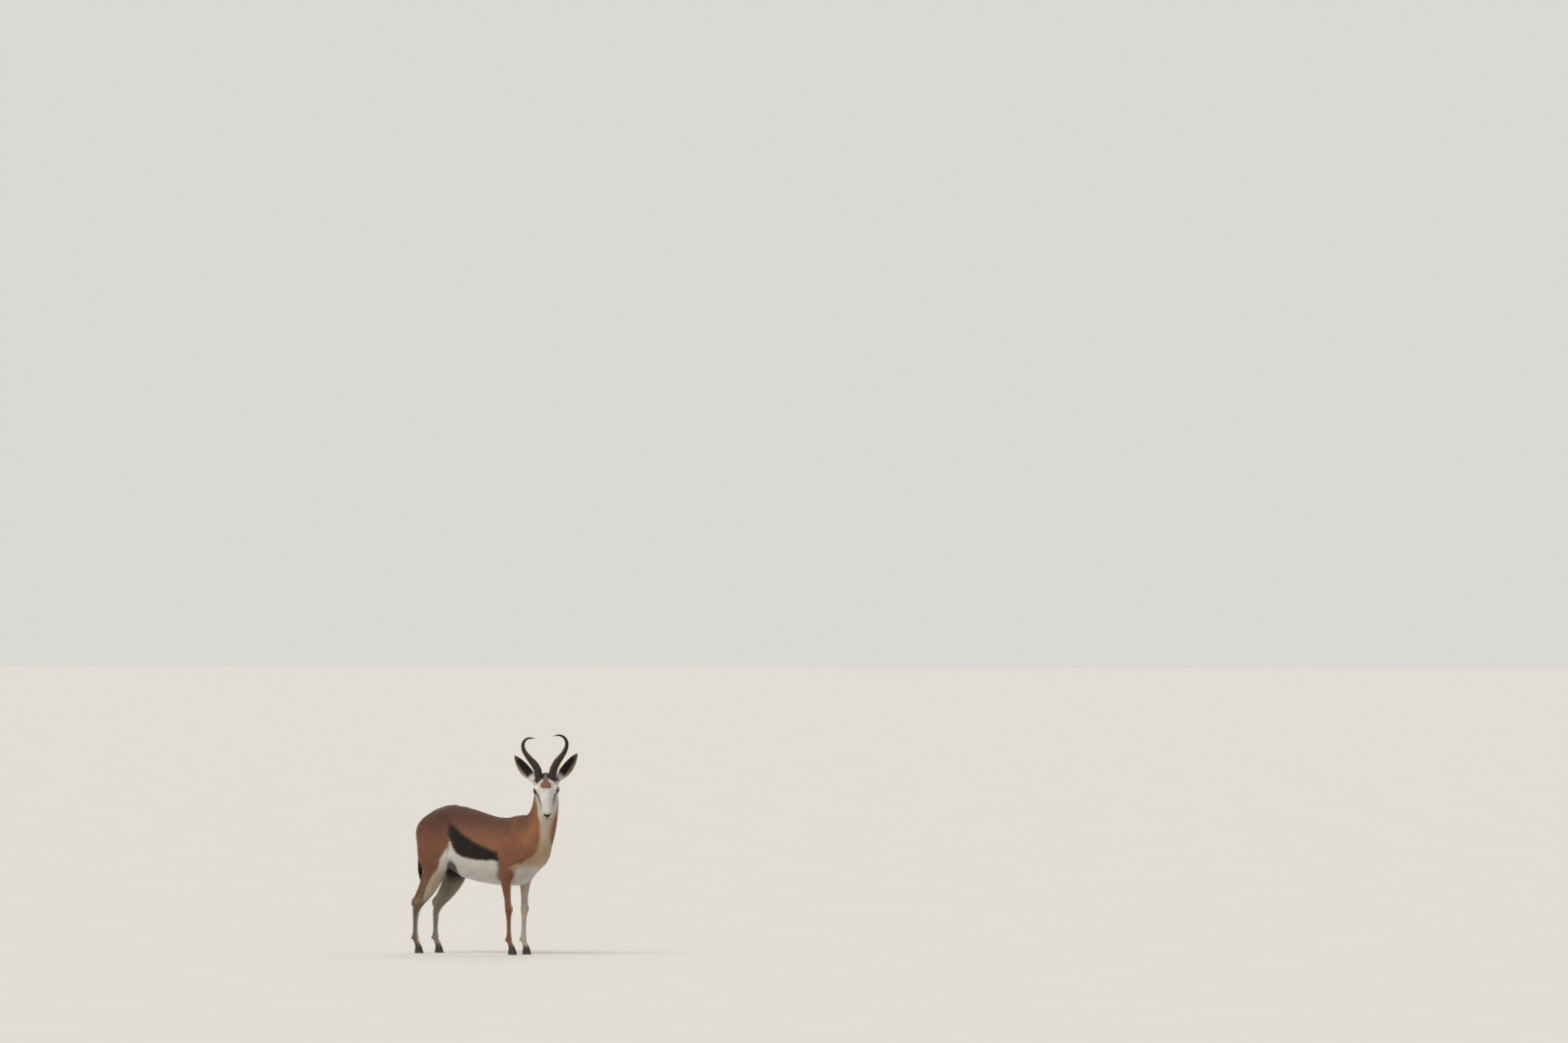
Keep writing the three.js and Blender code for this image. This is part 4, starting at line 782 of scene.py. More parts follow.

# The rump patch, its dark border, widened over the rump's rear edge as painted shade, and the white fold
# along the back.
patch = between(z, (500, 30), (560, 52), (620, 64), (700, 60), (750, 34), (790, 6)) + jitter * 2
back_end = ease(x, -236, -266) * np.clip(rump + tail + hind, 0, 1)
lay("rump_edge", back_end * ease(np.abs(y), patch + 34, patch + 8) * ease(z, 430, 520))
lay("white", back_end * ease(np.abs(y), patch + 3, patch - 4) * ease(z, 440, 500))
fold = between(x, (-330, 8), (-250, 3), (-160, 1))
lay("white", ease(np.abs(y) + jitter * 0.4, fold + 2, fold - 1) * ease(nz, 0.5, 0.8)
    * ease(x, -150, -230) * 0.7)
lay("white", tail)

# The head: white with a dark crown, a rusty brow and a dark line from the eye to the mouth.
beside = np.stack([hx, np.abs(hy), hz], 1)
FACE_LINE = [[14, 46, -3], [34, 41, -7], [58, 36, -10], [82, 32, -18], [104, 29, -30]]
lay("white", head * (1 - behind))
behind_head = np.clip(head * 5, 0, 1)
lay("neck", behind_head * behind * ease(hz, 22, 4) * ease(hz, -62, -40))
lay("crown", behind_head * ease(hx + jitter, -46, -60) * ease(hz, -16, 8))
lay("crown", head * ease(np.hypot((hx + 36) / 26, hy / 18), 1.15, 0.8) * ease(hz, 20, 30) * 0.85)
brow = (np.abs((hx - 2) / 21) ** 2.6 + np.abs(hy / 28) ** 2.6) ** (1 / 2.6) + fine_jitter * 0.09
lay("rust", head * ease(brow, 1.1, 0.86) * ease(hz, 20, 30) * 0.92)
lay("muzzle", head * ease(hx, 60, 100) * 0.8)
near, along_line = from_line(beside, FACE_LINE)
line_width = between(along_line, (0, 20), (0.2, 18.5), (0.6, 15.5), (0.85, 11.5), (1, 5.5))
lay("line", head * ease(near + fine_jitter * 0.8, line_width, line_width - 4))
eye_gap = gap_to_eyes(in_head)
for name, s in SIDES:
    own = head * (np.sign(hy) == s)
    lay("black", own * ease(by_lids(s, 1.5) + fine_jitter * 0.7, 7.0, 3.4) * ease(eye_gap, 34, 28))
    from_horn, rise = by_horn(s, name)
    lay("ear_dark", own * ease(from_horn + fine_jitter, 31, 25) * ease(rise, -22, -12))
    near, along_line = from_line(in_head, nostril_line[s])
    lay("pad", head * ease(near, 5.2, 3.2) * ease(along_line, 1.0, 0.7))
    foot, reach, opened, across = ear_axes(s)
    ear = share_of([f"ear_{name}"], 2)
    t = (place - foot) @ reach / (reach @ reach)
    wide = (place - foot - np.outer(t, reach)) @ across
    wide = wide * np.sign(across @ head_left * s)          # positive towards the outer edge
    half = 29 * np.clip(1 - np.clip((t - 0.42) / 0.58, 0, 1) ** 2.1, 0, 1) ** 0.85 + 2
    inner = ease(outward @ opened, -0.15, 0.25)
    lay("ear_back", ear)
    lay("white", ear * ease(t, 0.34, 0.16))
    lay("ear_tip", ear * ease(t, 0.78, 0.95))
    lay("ear_dark", ear * inner * ease(t, 0.17, 0.3) * ease(t, 0.93, 0.8)
        * (1 - 0.85 * np.maximum(ease(wide / half, 0.58, 0.88), ease(-wide / half, 0.85, 1.05))))
    lay("white", ear * inner * ease(np.abs(wide) / half, 0.72, 1.0) * ease(t, 0.5, 0.2) * 0.7)
near, _ = from_line(in_head, mouth_line)
lay("black", head * ease(near, 3.4, 1.8))
lay("black", head * ease(near, 10, 5.5) * ease(hx, 106, 120) * ease(hz, -36, -42))
near, _ = from_line(in_head, cleft_line)
lay("pad", head * ease(near, 3.4, 2.0))
# The bare skin between the nostrils is a dark V.
nose_v = np.abs(hy) * 0.8 - (hz + 22)
lay("pad", head * ease(nose_v, 9, 2) * ease(nose_v, -22, -14) * ease(np.abs(hy), 17, 12)
    * ease(hx, 128, 134) * ease(hz, 0, -9))
coat_colour *= (1 + 0.09 * ripple(place, 60, 7) + 0.05 * fine_jitter)[:, None]
coat_colour = np.clip(coat_colour, 0.003, 0.9)


def keep_on(piece, name, kind, values):
    """Stores one value for each vertex in an attribute that the piece's material reads."""
    key = {"FLOAT": "value", "FLOAT_VECTOR": "vector", "FLOAT_COLOR": "color"}[kind]
    layer = piece.data.attributes.new(name, kind, "POINT")
    layer.data.foreach_set(key, np.ascontiguousarray(values, np.float32).ravel())


def paint_points(piece, colours):
    """Stores a linear colour for each vertex."""
    keep_on(piece, "Coat", "FLOAT_COLOR", np.concatenate([colours, np.ones((len(colours), 1))], 1))


# The hide under the coat is painted darker, as shade between the hairs.
UNDERFUR_SHADE = 0.8
paint_points(skin, coat_colour * UNDERFUR_SHADE)

# The hide as the eye meets it between the hairs: short dense underfur, matt, painted a little darker than the
# coat as shade between the hairs, and finely broken up by single hairs; dark bare skin shows only at lids,
# nose and lips.
hide, tree, shader = material("haired hide", Roughness=0.82, Specular_IOR_Level=0.3, Sheen_Weight=0.12,
                              Sheen_Roughness=0.5)
where = node(tree, "ShaderNodeTexCoord").outputs["Object"]
laid = node(tree, "ShaderNodeAttribute", {"attribute_name": "Coat"})
# Clumps of hair some 4 mm across, and single hairs drawn 1 mm thick and 3 mm long so that they show.
clumps = node(tree, "ShaderNodeTexNoise", Vector=where, Scale=250.0, Detail=3.0, Roughness=0.6)
drawn = node(tree, "ShaderNodeMapping", Vector=where, Scale=(420.0, 900.0, 330.0))
hairs = node(tree, "ShaderNodeTexNoise", Vector=drawn.outputs[0], Scale=1.0, Detail=2.0, Roughness=0.6)
tone = node(tree, "ShaderNodeMapRange", _0=clumps.outputs["Fac"], _1=0.3, _2=0.7, _3=0.86, _4=1.12)
fur_colour = node(tree, "ShaderNodeVectorMath", {"operation": "SCALE"}, _0=laid.outputs["Color"],
                  Scale=tone.outputs[0])
tree.links.new(fur_colour.outputs[0], shader.inputs["Base Color"])
bump = node(tree, "ShaderNodeBump", Strength=0.45, Distance=0.0009, Height=hairs.outputs["Fac"])
tree.links.new(bump.outputs["Normal"], shader.inputs["Normal"])
skin.data.materials.clear()
skin.data.materials.append(hide)
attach(skin, "root")
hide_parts(*FLESH)

# ---- The eyes. Cast glass eyes as a taxidermist sets them: a dark brown iris with a level slot of
# a pupil under a clear, wet-looking bulge, sunk between the lids.
glass, tree, shader = material("cast glass eye", Roughness=0.06, Specular_IOR_Level=0.2, Coat_Weight=0.2,
                               Coat_Roughness=0.02, Coat_IOR=1.4)
seen = node(tree, "ShaderNodeAttribute", {"attribute_name": "Gaze"})
gaze = node(tree, "ShaderNodeSeparateXYZ", Vector=seen.outputs["Vector"])
flat_gaze = node(tree, "ShaderNodeCombineXYZ", X=gaze.outputs["X"], Y=gaze.outputs["Y"])
out_by = node(tree, "ShaderNodeVectorMath", {"operation": "LENGTH"}, _0=flat_gaze.outputs[0])
way = node(tree, "ShaderNodeVectorMath", {"operation": "NORMALIZE"}, _0=flat_gaze.outputs[0])
# The fibres of the iris run outwards, about a millimetre apart at its rim.
fibres = node(tree, "ShaderNodeTexNoise", Vector=way.outputs[0], Scale=14.0, Detail=3.0)
iris = node(tree, "ShaderNodeMix", {"data_type": "RGBA"}, Factor=fibres.outputs["Fac"],
            _6=linear("#0c0705"), _7=linear("#2e1a0f"))
squeezed = node(tree, "ShaderNodeVectorMath", {"operation": "MULTIPLY"}, _0=flat_gaze.outputs[0],
                _1=(2.6, 5.2, 0))
slot = node(tree, "ShaderNodeVectorMath", {"operation": "LENGTH"}, _0=squeezed.outputs[0])
in_slot = node(tree, "ShaderNodeMapRange", _0=slot.outputs["Value"], _1=0.9, _2=1.06)
with_pupil = node(tree, "ShaderNodeMix", {"data_type": "RGBA"}, Factor=in_slot.outputs[0],
                  _6=linear("#040303"), _7=iris.outputs[2])
at_edge = node(tree, "ShaderNodeMapRange", _0=out_by.outputs["Value"], _1=0.66, _2=0.8)
eye_colour = node(tree, "ShaderNodeMix", {"data_type": "RGBA"}, Factor=at_edge.outputs[0],
                  _6=with_pupil.outputs[2], _7=linear("#0b0807"))
tree.links.new(eye_colour.outputs[2], shader.inputs["Base Color"])

# The lashes are stiff black guard hairs along the middle and the outer part of the upper lid.
lash_hair, tree, shader = material("black lash hair", Roughness=0.42, Specular_IOR_Level=0.4)
where = node(tree, "ShaderNodeTexCoord").outputs["Object"]
streak = node(tree, "ShaderNodeTexNoise", Vector=where, Scale=600.0)
shade = node(tree, "ShaderNodeMix", {"data_type": "RGBA"}, Factor=streak.outputs["Fac"],
             _6=linear("#0d0b0a"), _7=linear("#2a221d"))
tree.links.new(shade.outputs[2], shader.inputs["Base Color"])


def mesh_of(name, points, triangles):
    """A mesh piece from points in metres and triangles."""
    mesh = bpy.data.meshes.new(name)
    mesh.vertices.add(len(points))
    mesh.vertices.foreach_set("co", np.ascontiguousarray(points, np.float32).ravel())
    mesh.loops.add(len(triangles) * 3)
    mesh.loops.foreach_set("vertex_index", np.ascontiguousarray(triangles, np.int32).ravel())
    mesh.polygons.add(len(triangles))
    mesh.polygons.foreach_set("loop_start", np.arange(0, len(triangles) * 3, 3, dtype=np.int32))
    mesh.update(calc_edges=True)
    piece = bpy.data.objects.new(name, mesh)
    bpy.context.scene.collection.objects.link(piece)
    return piece


def strands(name, lines, thickness, sides=3):
    """Long hairs as closed tapering spikes: lines is hairs by stops by 3, in metres, with one
    thickness each."""
    hair_count, stops = lines.shape[:2]
    ahead = unit(np.gradient(lines, axis=1))
    helper = np.where(np.abs(ahead[..., 2:]) > 0.8, [1.0, 0, 0], [0, 0, 1.0])
    across = unit(np.cross(ahead, helper))
    third = np.cross(ahead, across)
    narrowing = (1 - np.linspace(0, 1, stops)[:-1] ** 1.6)[None, :, None, None]
    angle = np.arange(sides) / sides * 2 * np.pi
    ring = (np.cos(angle)[None, None, :, None] * across[:, :-1, None]
            + np.sin(angle)[None, None, :, None] * third[:, :-1, None])
    rings = lines[:, :-1, None] + ring * (narrowing * np.asarray(thickness)[:, None, None, None])
    each = (stops - 1) * sides + 1
    points = np.concatenate([rings.reshape(hair_count, -1, 3), lines[:, -1:]], 1).reshape(-1, 3)
    faces = []
    for i in range(stops - 2):
        for j in range(sides):
            a, b = i * sides + j, i * sides + (j + 1) % sides
            faces += [(a, b, b + sides), (a, b + sides, a + sides)]
    last = (stops - 2) * sides
    faces += [(last + j, last + (j + 1) % sides, each - 1) for j in range(sides)]
    faces += [(j + 1, j, 0) for j in range(1, sides - 1)]
    every = (np.array(faces)[None] + np.arange(hair_count)[:, None, None] * each).reshape(-1, 3)
    return mesh_of(name, points, every)


LASHES, LASH_LID = 24, 128
BULGE = 0.075
lash_rng = np.random.default_rng(31)
for name, s in SIDES:
    middle, along, up, look = eye_axes(s)
    bpy.ops.object.select_all(action="DESELECT")
    bpy.ops.mesh.primitive_uv_sphere_add(segments=64, ring_count=40, radius=EYE_RADIUS * MM)
    eye = bpy.context.object
    eye.name = eye.data.name = f"glass_eye_{name}"
    eye.matrix_world = Matrix(np.stack([along, np.cross(look, along), look], 1).tolist()).to_4x4()
    bpy.ops.object.transform_apply(location=True, rotation=True, scale=True)
    ball = points_of(eye) / MM
    sight = unit(ball) @ look
    bulge = 1 + BULGE * ease(np.degrees(np.arccos(np.clip(sight, -1, 1))), 44, 14)
    # The pupil lies level, whatever the lids do.
    level = unit(np.cross(look, np.array([0, 0, 1.0]) @ head_turn))
    upright = np.cross(level, look)
    keep_on(eye, "Gaze", "FLOAT_VECTOR", np.stack([unit(ball) @ level, unit(ball) @ upright, sight], 1))
    set_points(eye, metres(from_head(middle + ball * bulge[:, None])))
    bpy.ops.object.shade_smooth()
    eye.data.materials.append(glass)
    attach(eye, "root")
    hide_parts(f"eye_{name}")

    share = np.sort(lash_rng.uniform(0.42, 0.95, LASHES))   # from the nose's corner to the ear's
    lid = almond_line(s, 2.2, EYE_RADIUS + 2.2, LASH_LID * 2)[:LASH_LID][::-s]
    root = lid[(share * LASH_LID).astype(int)]
    length = 2.5 + 4.5 * np.sin(np.pi * (share * 0.9 + 0.02))
    length = length * lash_rng.uniform(0.75, 1.15, LASHES)
    fan = (share - 0.5)[:, None] * along * -s * 0.8
    outwards = unit(look + up * 0.75 + fan + lash_rng.normal(0, 0.12, (LASHES, 3)))
    curl = unit(up * 0.8 + np.array([0, s * 0.5, 0.1]) + fan)
    t = np.linspace(0, 1, 6)[None, :, None]
    reach = length[:, None, None]
    lines = root[:, None] + outwards[:, None] * reach * t + curl[:, None] * reach * 0.32 * t ** 2
    lashes = strands(f"lashes_{name}", metres(from_head(lines)), lash_rng.uniform(0.2, 0.32, LASHES) * MM)
    lashes.data.materials.append(lash_hair)
    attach(lashes, "root")

# ---- The horns. Keratin sheaths on bony cores, black and ringed, each ring a worn ridge that is
# strongest in front; the hooked tips are smooth. They stand in the hide of the brow.
# Each line is given in millimetres from the seat: outwards, forwards and up.
HORN_LINES = {
    "right": [(-1, 1, -14), (1, 0, 0), (10, -9, 49), (26, -18, 77), (50, -28, 105), (69, -35, 129),
              (83, -38, 153), (87, -38, 177), (81, -34, 197), (65, -28, 212), (44, -21, 216), (20, -14, 212)],
    "left": [(-1, 1, -14), (1, 0, 0), (8, -8, 46), (26, -20, 85), (46, -29, 112), (63, -35, 137),
             (74, -38, 161), (77, -39, 186), (68, -34, 210), (51, -27, 223), (33, -20, 228), (4, -12, 222)]}
# At each share of the horn's length, half its width and half its depth.
HORN_SIZES = [(0, 21, 24), (0.17, 20.5, 23.5), (0.36, 18, 21), (0.5, 13.5, 16), (0.66, 10.2, 12),
              (0.8, 7.4, 8.4), (0.92, 4, 4.4), (1, 0.5, 0.5)]
HORN_RINGS, RINGED_SHARE = 22, 0.72
RING_HEIGHT, RING_GROOVE = 2.6, -0.75
TIP_ROWS, TIP_RADIUS = 14, 0.3
GROOVE_WIDTH, GROOVE_LENGTH = 1.1, 16

keratin, tree, shader = material("black horn keratin", Roughness=0.5, Specular_IOR_Level=0.32)
lie_of_horn = node(tree, "ShaderNodeAttribute", {"attribute_name": "Grain"})
crest_of_horn = node(tree, "ShaderNodeAttribute", {"attribute_name": "Crest"})
# Fine grooves run along the horn, about a millimetre apart; dust and wear show grey on the ridges.
grooves = node(tree, "ShaderNodeTexNoise", Vector=lie_of_horn.outputs["Vector"], Scale=1.0, Detail=4.0,
               Roughness=0.65)
where = node(tree, "ShaderNodeTexCoord").outputs["Object"]
# Brown shows through the black in patches some 17 mm across.
patches = node(tree, "ShaderNodeTexNoise", Vector=where, Scale=60.0, Detail=3.0)
worn = node(tree, "ShaderNodeMath", {"operation": "MULTIPLY"}, _0=crest_of_horn.outputs["Fac"],
            _1=grooves.outputs["Fac"])
worn = node(tree, "ShaderNodeMapRange", _0=worn.outputs[0], _1=0.12, _2=0.62)
dark_horn = node(tree, "ShaderNodeMix", {"data_type": "RGBA"}, Factor=patches.outputs["Fac"],
                 _6=linear("#160e0c"), _7=linear("#2c1e19"))
horn_colour = node(tree, "ShaderNodeMix", {"data_type": "RGBA"}, Factor=worn.outputs[0],
                   _6=dark_horn.outputs[2], _7=linear("#3b2e28"))
tree.links.new(horn_colour.outputs[2], shader.inputs["Base Color"])
polish = node(tree, "ShaderNodeMapRange", _0=grooves.outputs["Fac"], _1=0.3, _2=0.7, _3=0.36, _4=0.58)
tree.links.new(polish.outputs[0], shader.inputs["Roughness"])
bump = node(tree, "ShaderNodeBump", Strength=0.5, Distance=0.0006, Height=grooves.outputs["Fac"])
tree.links.new(bump.outputs["Normal"], shader.inputs["Normal"])


def even_line(stops, count):
    """Points at even steps along a smooth line through the stops, and the line's length."""
    stops = np.asarray(stops, float)
    full = np.concatenate([[2 * stops[0] - stops[1]], stops, [2 * stops[-1] - stops[-2]]])
    knots = np.concatenate([[0], np.cumsum(np.linalg.norm(np.diff(full, axis=0), axis=1) ** 0.5)])
    made = []
    for i in range(1, len(full) - 2):
        t = np.linspace(knots[i], knots[i + 1], 40, endpoint=i == len(full) - 3)[:, None]

        def mix(a, b, ta, tb):
            return (tb - t) / (tb - ta) * a + (t - ta) / (tb - ta) * b

        k0, k1, k2, k3 = knots[i - 1:i + 3]
        p0, p1, p2, p3 = full[i - 1:i + 3]
        a1, a2, a3 = mix(p0, p1, k0, k1), mix(p1, p2, k1, k2), mix(p2, p3, k2, k3)
        made.append(mix(mix(a1, a2, k0, k2), mix(a2, a3, k1, k3), k1, k2))
    made = np.concatenate(made)
    run = np.concatenate([[0], np.cumsum(np.linalg.norm(np.diff(made, axis=0), axis=1))])
    even = np.linspace(0, run[-1], count)
    return np.stack([np.interp(even, run, made[:, k]) for k in range(3)], 1), run[-1]


horn_rng = np.random.default_rng(12)
ROWS, AROUND = 460, 44
for name, s in SIDES:
    stops = [horn_seat(s) + head_left * s * out + head_forward * ahead + np.array([0, 0, up])
             for out, ahead, up in HORN_LINES[name]]
    centre, horn_length = even_line(stops, ROWS)
    share = np.linspace(0, 1, ROWS)
    kernel = np.hanning(41) / np.hanning(41).sum()
    at, *halves = np.array(HORN_SIZES).T
    for k, half in enumerate(halves):
        half = np.convolve(np.pad(np.interp(share, at, half), 20, mode="edge"), kernel, "valid")
        end = share[-TIP_ROWS:]
        half[-TIP_ROWS:] = np.interp(end, [end[0], 1], [half[-TIP_ROWS], TIP_RADIUS])
        halves[k] = half
    half_wide, half_deep = halves
    # Each ring rises slowly and falls sharply; no two are quite alike.
    at_ring = share / RINGED_SHARE * HORN_RINGS
    ring_at = np.arange(HORN_RINGS + 3)
    strength = np.interp(at_ring, ring_at, horn_rng.uniform(0.72, 1.15, len(ring_at)))
    shift = np.interp(at_ring, ring_at, horn_rng.uniform(-0.1, 0.1, len(ring_at)))
    phase = (at_ring + shift) % 1
    ridge = np.where(phase < 0.62, ease(phase, 0.02, 0.56), 1 - ease(phase, 0.66, 0.98))
    fade = ease(1 - share, 1 - RINGED_SHARE, 0.72)
    ahead = unit(np.gradient(centre, axis=0))
    across = unit(head_left * s - ahead * (ahead @ (head_left * s))[:, None])
    fore_way = np.cross(ahead, across)
    front = np.sign((fore_way @ head_forward).mean())
    turn_round = np.arange(AROUND) / AROUND * 2 * np.pi
    frontal = (0.62 + 0.38 * np.sin(turn_round) * front)[None]
    # A ring stands out most in front, and the sheath is drawn in between the rings.
    raise_by = (RING_GROOVE + RING_HEIGHT * ridge * strength)[:, None] * fade[:, None] * frontal
    wobble = 0.25 * np.sin(3 * turn_round + 1)[None] * np.sin(at_ring * 1.7)[:, None]
    radius_a = half_wide[:, None] + raise_by + wobble * fade[:, None]
    radius_b = half_deep[:, None] + raise_by + wobble * fade[:, None]
    cos_t, sin_t = np.cos(turn_round)[None], np.sin(turn_round)[None]
    points = (centre[:, None] + across[:, None] * radius_a[..., None] * cos_t[..., None]
              + fore_way[:, None] * radius_b[..., None] * sin_t[..., None])
    index = np.arange(ROWS * AROUND).reshape(ROWS, AROUND)
    a, b = index[:-1], np.roll(index, -1, 1)[:-1]
    c, d = np.roll(index, -1, 1)[1:], index[1:]
    quads = np.concatenate([np.stack([a, b, c], -1).reshape(-1, 3), np.stack([a, c, d], -1).reshape(-1, 3)])
    ends = len(index) * AROUND
    foot_cap = np.stack([np.roll(index[0], -1), index[0], np.full(AROUND, ends)], 1)
    tip_cap = np.stack([index[-1], np.roll(index[-1], -1), np.full(AROUND, ends + 1)], 1)
    every = np.concatenate([points.reshape(-1, 3), centre[:1], centre[-1:] + ahead[-1:] * 0.6])
    horn = mesh_of(f"ringed_horn_{name}", metres(every), np.concatenate([quads, foot_cap, tip_cap]))
    edit(horn, lambda: bpy.ops.mesh.normals_make_consistent(inside=False))
    keep_on(horn, "Crest", "FLOAT", np.append(np.repeat(ridge * strength * fade, AROUND), [0, 0]))
    grain = np.stack([half_wide[:, None] * cos_t / GROOVE_WIDTH, half_wide[:, None] * sin_t / GROOVE_WIDTH,
                      (share * horn_length)[:, None] * np.ones((1, AROUND)) / GROOVE_LENGTH], -1)
    grain = grain.reshape(-1, 3)
    keep_on(horn, "Grain", "FLOAT_VECTOR", np.concatenate([grain, grain[:1], grain[-1:]]))
    alone(horn)
    bpy.ops.object.shade_smooth()
    horn.data.materials.append(keratin)
    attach(horn, "root")
    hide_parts(f"horn_{name}")

# ---- The hooves. Two claws of black horn on each foot, parted by a narrow cleft, with faint growth
# rings round the wall and pale scuffs at the ground edge.
hoof_horn, tree, shader = material("black hoof horn", Roughness=0.42, Specular_IOR_Level=0.45)
where = node(tree, "ShaderNodeTexCoord").outputs["Object"]
height_up = node(tree, "ShaderNodeSeparateXYZ", Vector=where)
# Growth rings about 3.4 mm apart, a little uneven, and wear over the lowest centimetre.
rings = node(tree, "ShaderNodeTexWave", {"bands_direction": "Z"}, Vector=where, Scale=92.0, Distortion=1.6,
             Detail=2.0, Detail_Scale=1.2)
scuffs = node(tree, "ShaderNodeTexNoise", Vector=where, Scale=240.0, Detail=4.0, Roughness=0.7)
low_edge = node(tree, "ShaderNodeMapRange", _0=height_up.outputs["Z"], _1=0.0, _2=0.011, _3=0.62, _4=0.0)
scuffed = node(tree, "ShaderNodeMath", {"operation": "MULTIPLY"}, _0=low_edge.outputs[0],
               _1=scuffs.outputs["Fac"])
wall = node(tree, "ShaderNodeMix", {"data_type": "RGBA"}, Factor=rings.outputs["Fac"],
            _6=linear("#1c1917"), _7=linear("#2d2825"))
hoof_colour = node(tree, "ShaderNodeMix", {"data_type": "RGBA"}, Factor=scuffed.outputs[0],
                   _6=wall.outputs[2], _7=linear("#9a8b79"))
tree.links.new(hoof_colour.outputs[2], shader.inputs["Base Color"])
wall_shape = node(tree, "ShaderNodeMath", {"operation": "ADD"}, _0=rings.outputs["Fac"],
                  _1=scuffs.outputs["Fac"])
bump = node(tree, "ShaderNodeBump", Strength=0.22, Distance=0.0004, Height=wall_shape.outputs[0])
tree.links.new(bump.outputs["Normal"], shader.inputs["Normal"])
CLAW_BEVEL = 1.3 * MM
for leg in ("forehoof", "hindhoof"):
    for name, _ in SIDES:
        hoof = merged_copy(f"{leg}_{name}", f"claws_{leg}_{name}")
        edit(hoof, lambda: bpy.ops.mesh.dissolve_limited(angle_limit=math.radians(3)))
        finished(hoof, "BEVEL", width=CLAW_BEVEL, segments=3, limit_method="ANGLE",
                 angle_limit=math.radians(32))
        edit(hoof, bpy.ops.mesh.quads_convert_to_tris)
        alone(hoof)
        bpy.ops.object.shade_smooth_by_angle(angle=math.radians(40))
        hoof.data.materials.append(hoof_horn)
        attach(hoof, "root")
        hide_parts(f"{leg}_{name}")

# ---- The tail's tuft. Long loose black hair that grows from the lower third of the tail and hangs
# in a flat lock; it is laid strand by strand.
tuft_hair, tree, shader = material("long black tail hair", Roughness=0.5, Specular_IOR_Level=0.35)
where = node(tree, "ShaderNodeTexCoord").outputs["Object"]
# The hairs' colour varies about every millimetre across, and over 22 mm down their length.
drawn = node(tree, "ShaderNodeMapping", Vector=where, Scale=(900.0, 900.0, 45.0))
streak = node(tree, "ShaderNodeTexNoise", Vector=drawn.outputs[0], Scale=1.0, Detail=2.0)
shade = node(tree, "ShaderNodeMix", {"data_type": "RGBA"}, Factor=streak.outputs["Fac"],
             _6=linear("#0e0c0b"), _7=linear("#35291f"))
tree.links.new(shade.outputs[2], shader.inputs["Base Color"])
tuft_rng = np.random.default_rng(5)
STRANDS, STOPS = 1500, 9
rise = tuft_rng.uniform(0, 1, STRANDS) ** 1.3         # 0 at the tail's end, 1 highest up the tail
around = tuft_rng.uniform(0, 2 * np.pi, STRANDS)
root = np.stack([-390 - 2.0 * rise + 5.0 * np.cos(around), -5 + 2 * rise + 6.0 * np.sin(around),
                 486 + 44 * rise], 1)
end_z = 372 + 60 * tuft_rng.uniform(0, 1, STRANDS) ** 1.6 + 34 * rise
spread = tuft_rng.uniform(0.2, 1.0, STRANDS)
tip = np.stack([-376 + 4 * np.cos(around) * spread, -8 + 6 * np.sin(around) * spread, end_z], 1)
t = np.linspace(0, 1, STOPS)[None, :, None]
belly = np.sin(np.pi * np.minimum(t * 1.15, 1))
swell_way = np.stack([np.cos(around) * 6.0, np.sin(around) * 8.0, np.zeros(STRANDS)], 1)[:, None]
lines = root[:, None] * (1 - t) + tip[:, None] * t + swell_way * belly * spread[:, None, None]
lines += np.cumsum(tuft_rng.normal(0, 0.35, (STRANDS, STOPS, 3)) * [1, 1, 0.2], axis=1) * t
tuft = strands("tail_tuft_hair", metres(lines), tuft_rng.uniform(0.45, 0.8, STRANDS) * MM)
tuft.data.materials.append(tuft_hair)
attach(tuft, "root")
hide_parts("tail_tuft")

# ---- The coat. Short, smooth hair that lies flat along the body, a few millimetres on the face and
# feet and about 15 mm on the trunk; each tuft is a thin spike rooted in the hide, laid over the next.
coat_rng = np.random.default_rng(17)
NEAR_EYE = 40
lie = np.tile([-1.0, 0.0, -0.28], (len(place), 1))


def lean(way, share):
    """Turns the lie of the coat towards a direction where the share is 1."""
    lie[:] += (np.asarray(way, float) - lie) * np.clip(share, 0, 1)[:, None]


lean((-0.9, 0, -0.5), ease(z, 690, 600))
lean((-1, 0, -0.05), ease(nz, -0.3, -0.85))
lean((-0.55, 0, -0.85), trunk * ease(x, 190, 290))
lean((-0.5, 0, -0.87), np.clip(rump + hind, 0, 1) * ease(x, -130, -240))
lean((-0.05, 0, -1), back_end)
lean((-0.4, 0, -0.92), np.clip(throat + trunk * ease(x, 320, 350), 0, 1))
lean((-0.14, 0, -1), np.clip(fore + hind, 0, 1) * ease(z, 560, 450))
lean((0, 0, -1), tail)
face_lie = np.stack([np.full(len(place), -1.0), hy * 0.004, -0.25 * ease(hz, 10, -30)], 1)
lean(face_lie @ head_turn.T, head)
for name, s in SIDES:
    lean(ear_axes(s)[1] / 175, share_of([f"ear_{name}"], 1) > 0.5)
lie = neighbours_mean(unit(lie), 6)

# The hair's length in millimetres at each place, and how many tufts a square centimetre carries.
length = np.full(len(place), 14.0)
density = np.full(len(place), 11.0)


def grow(long_hair, many, share):
    """Lets the hair grow to this length, this many tufts to the square centimetre, where the
    share is 1."""
    share = np.clip(share, 0, 1)
    length[:] += (long_hair - length) * share
    density[:] += (many - density) * share


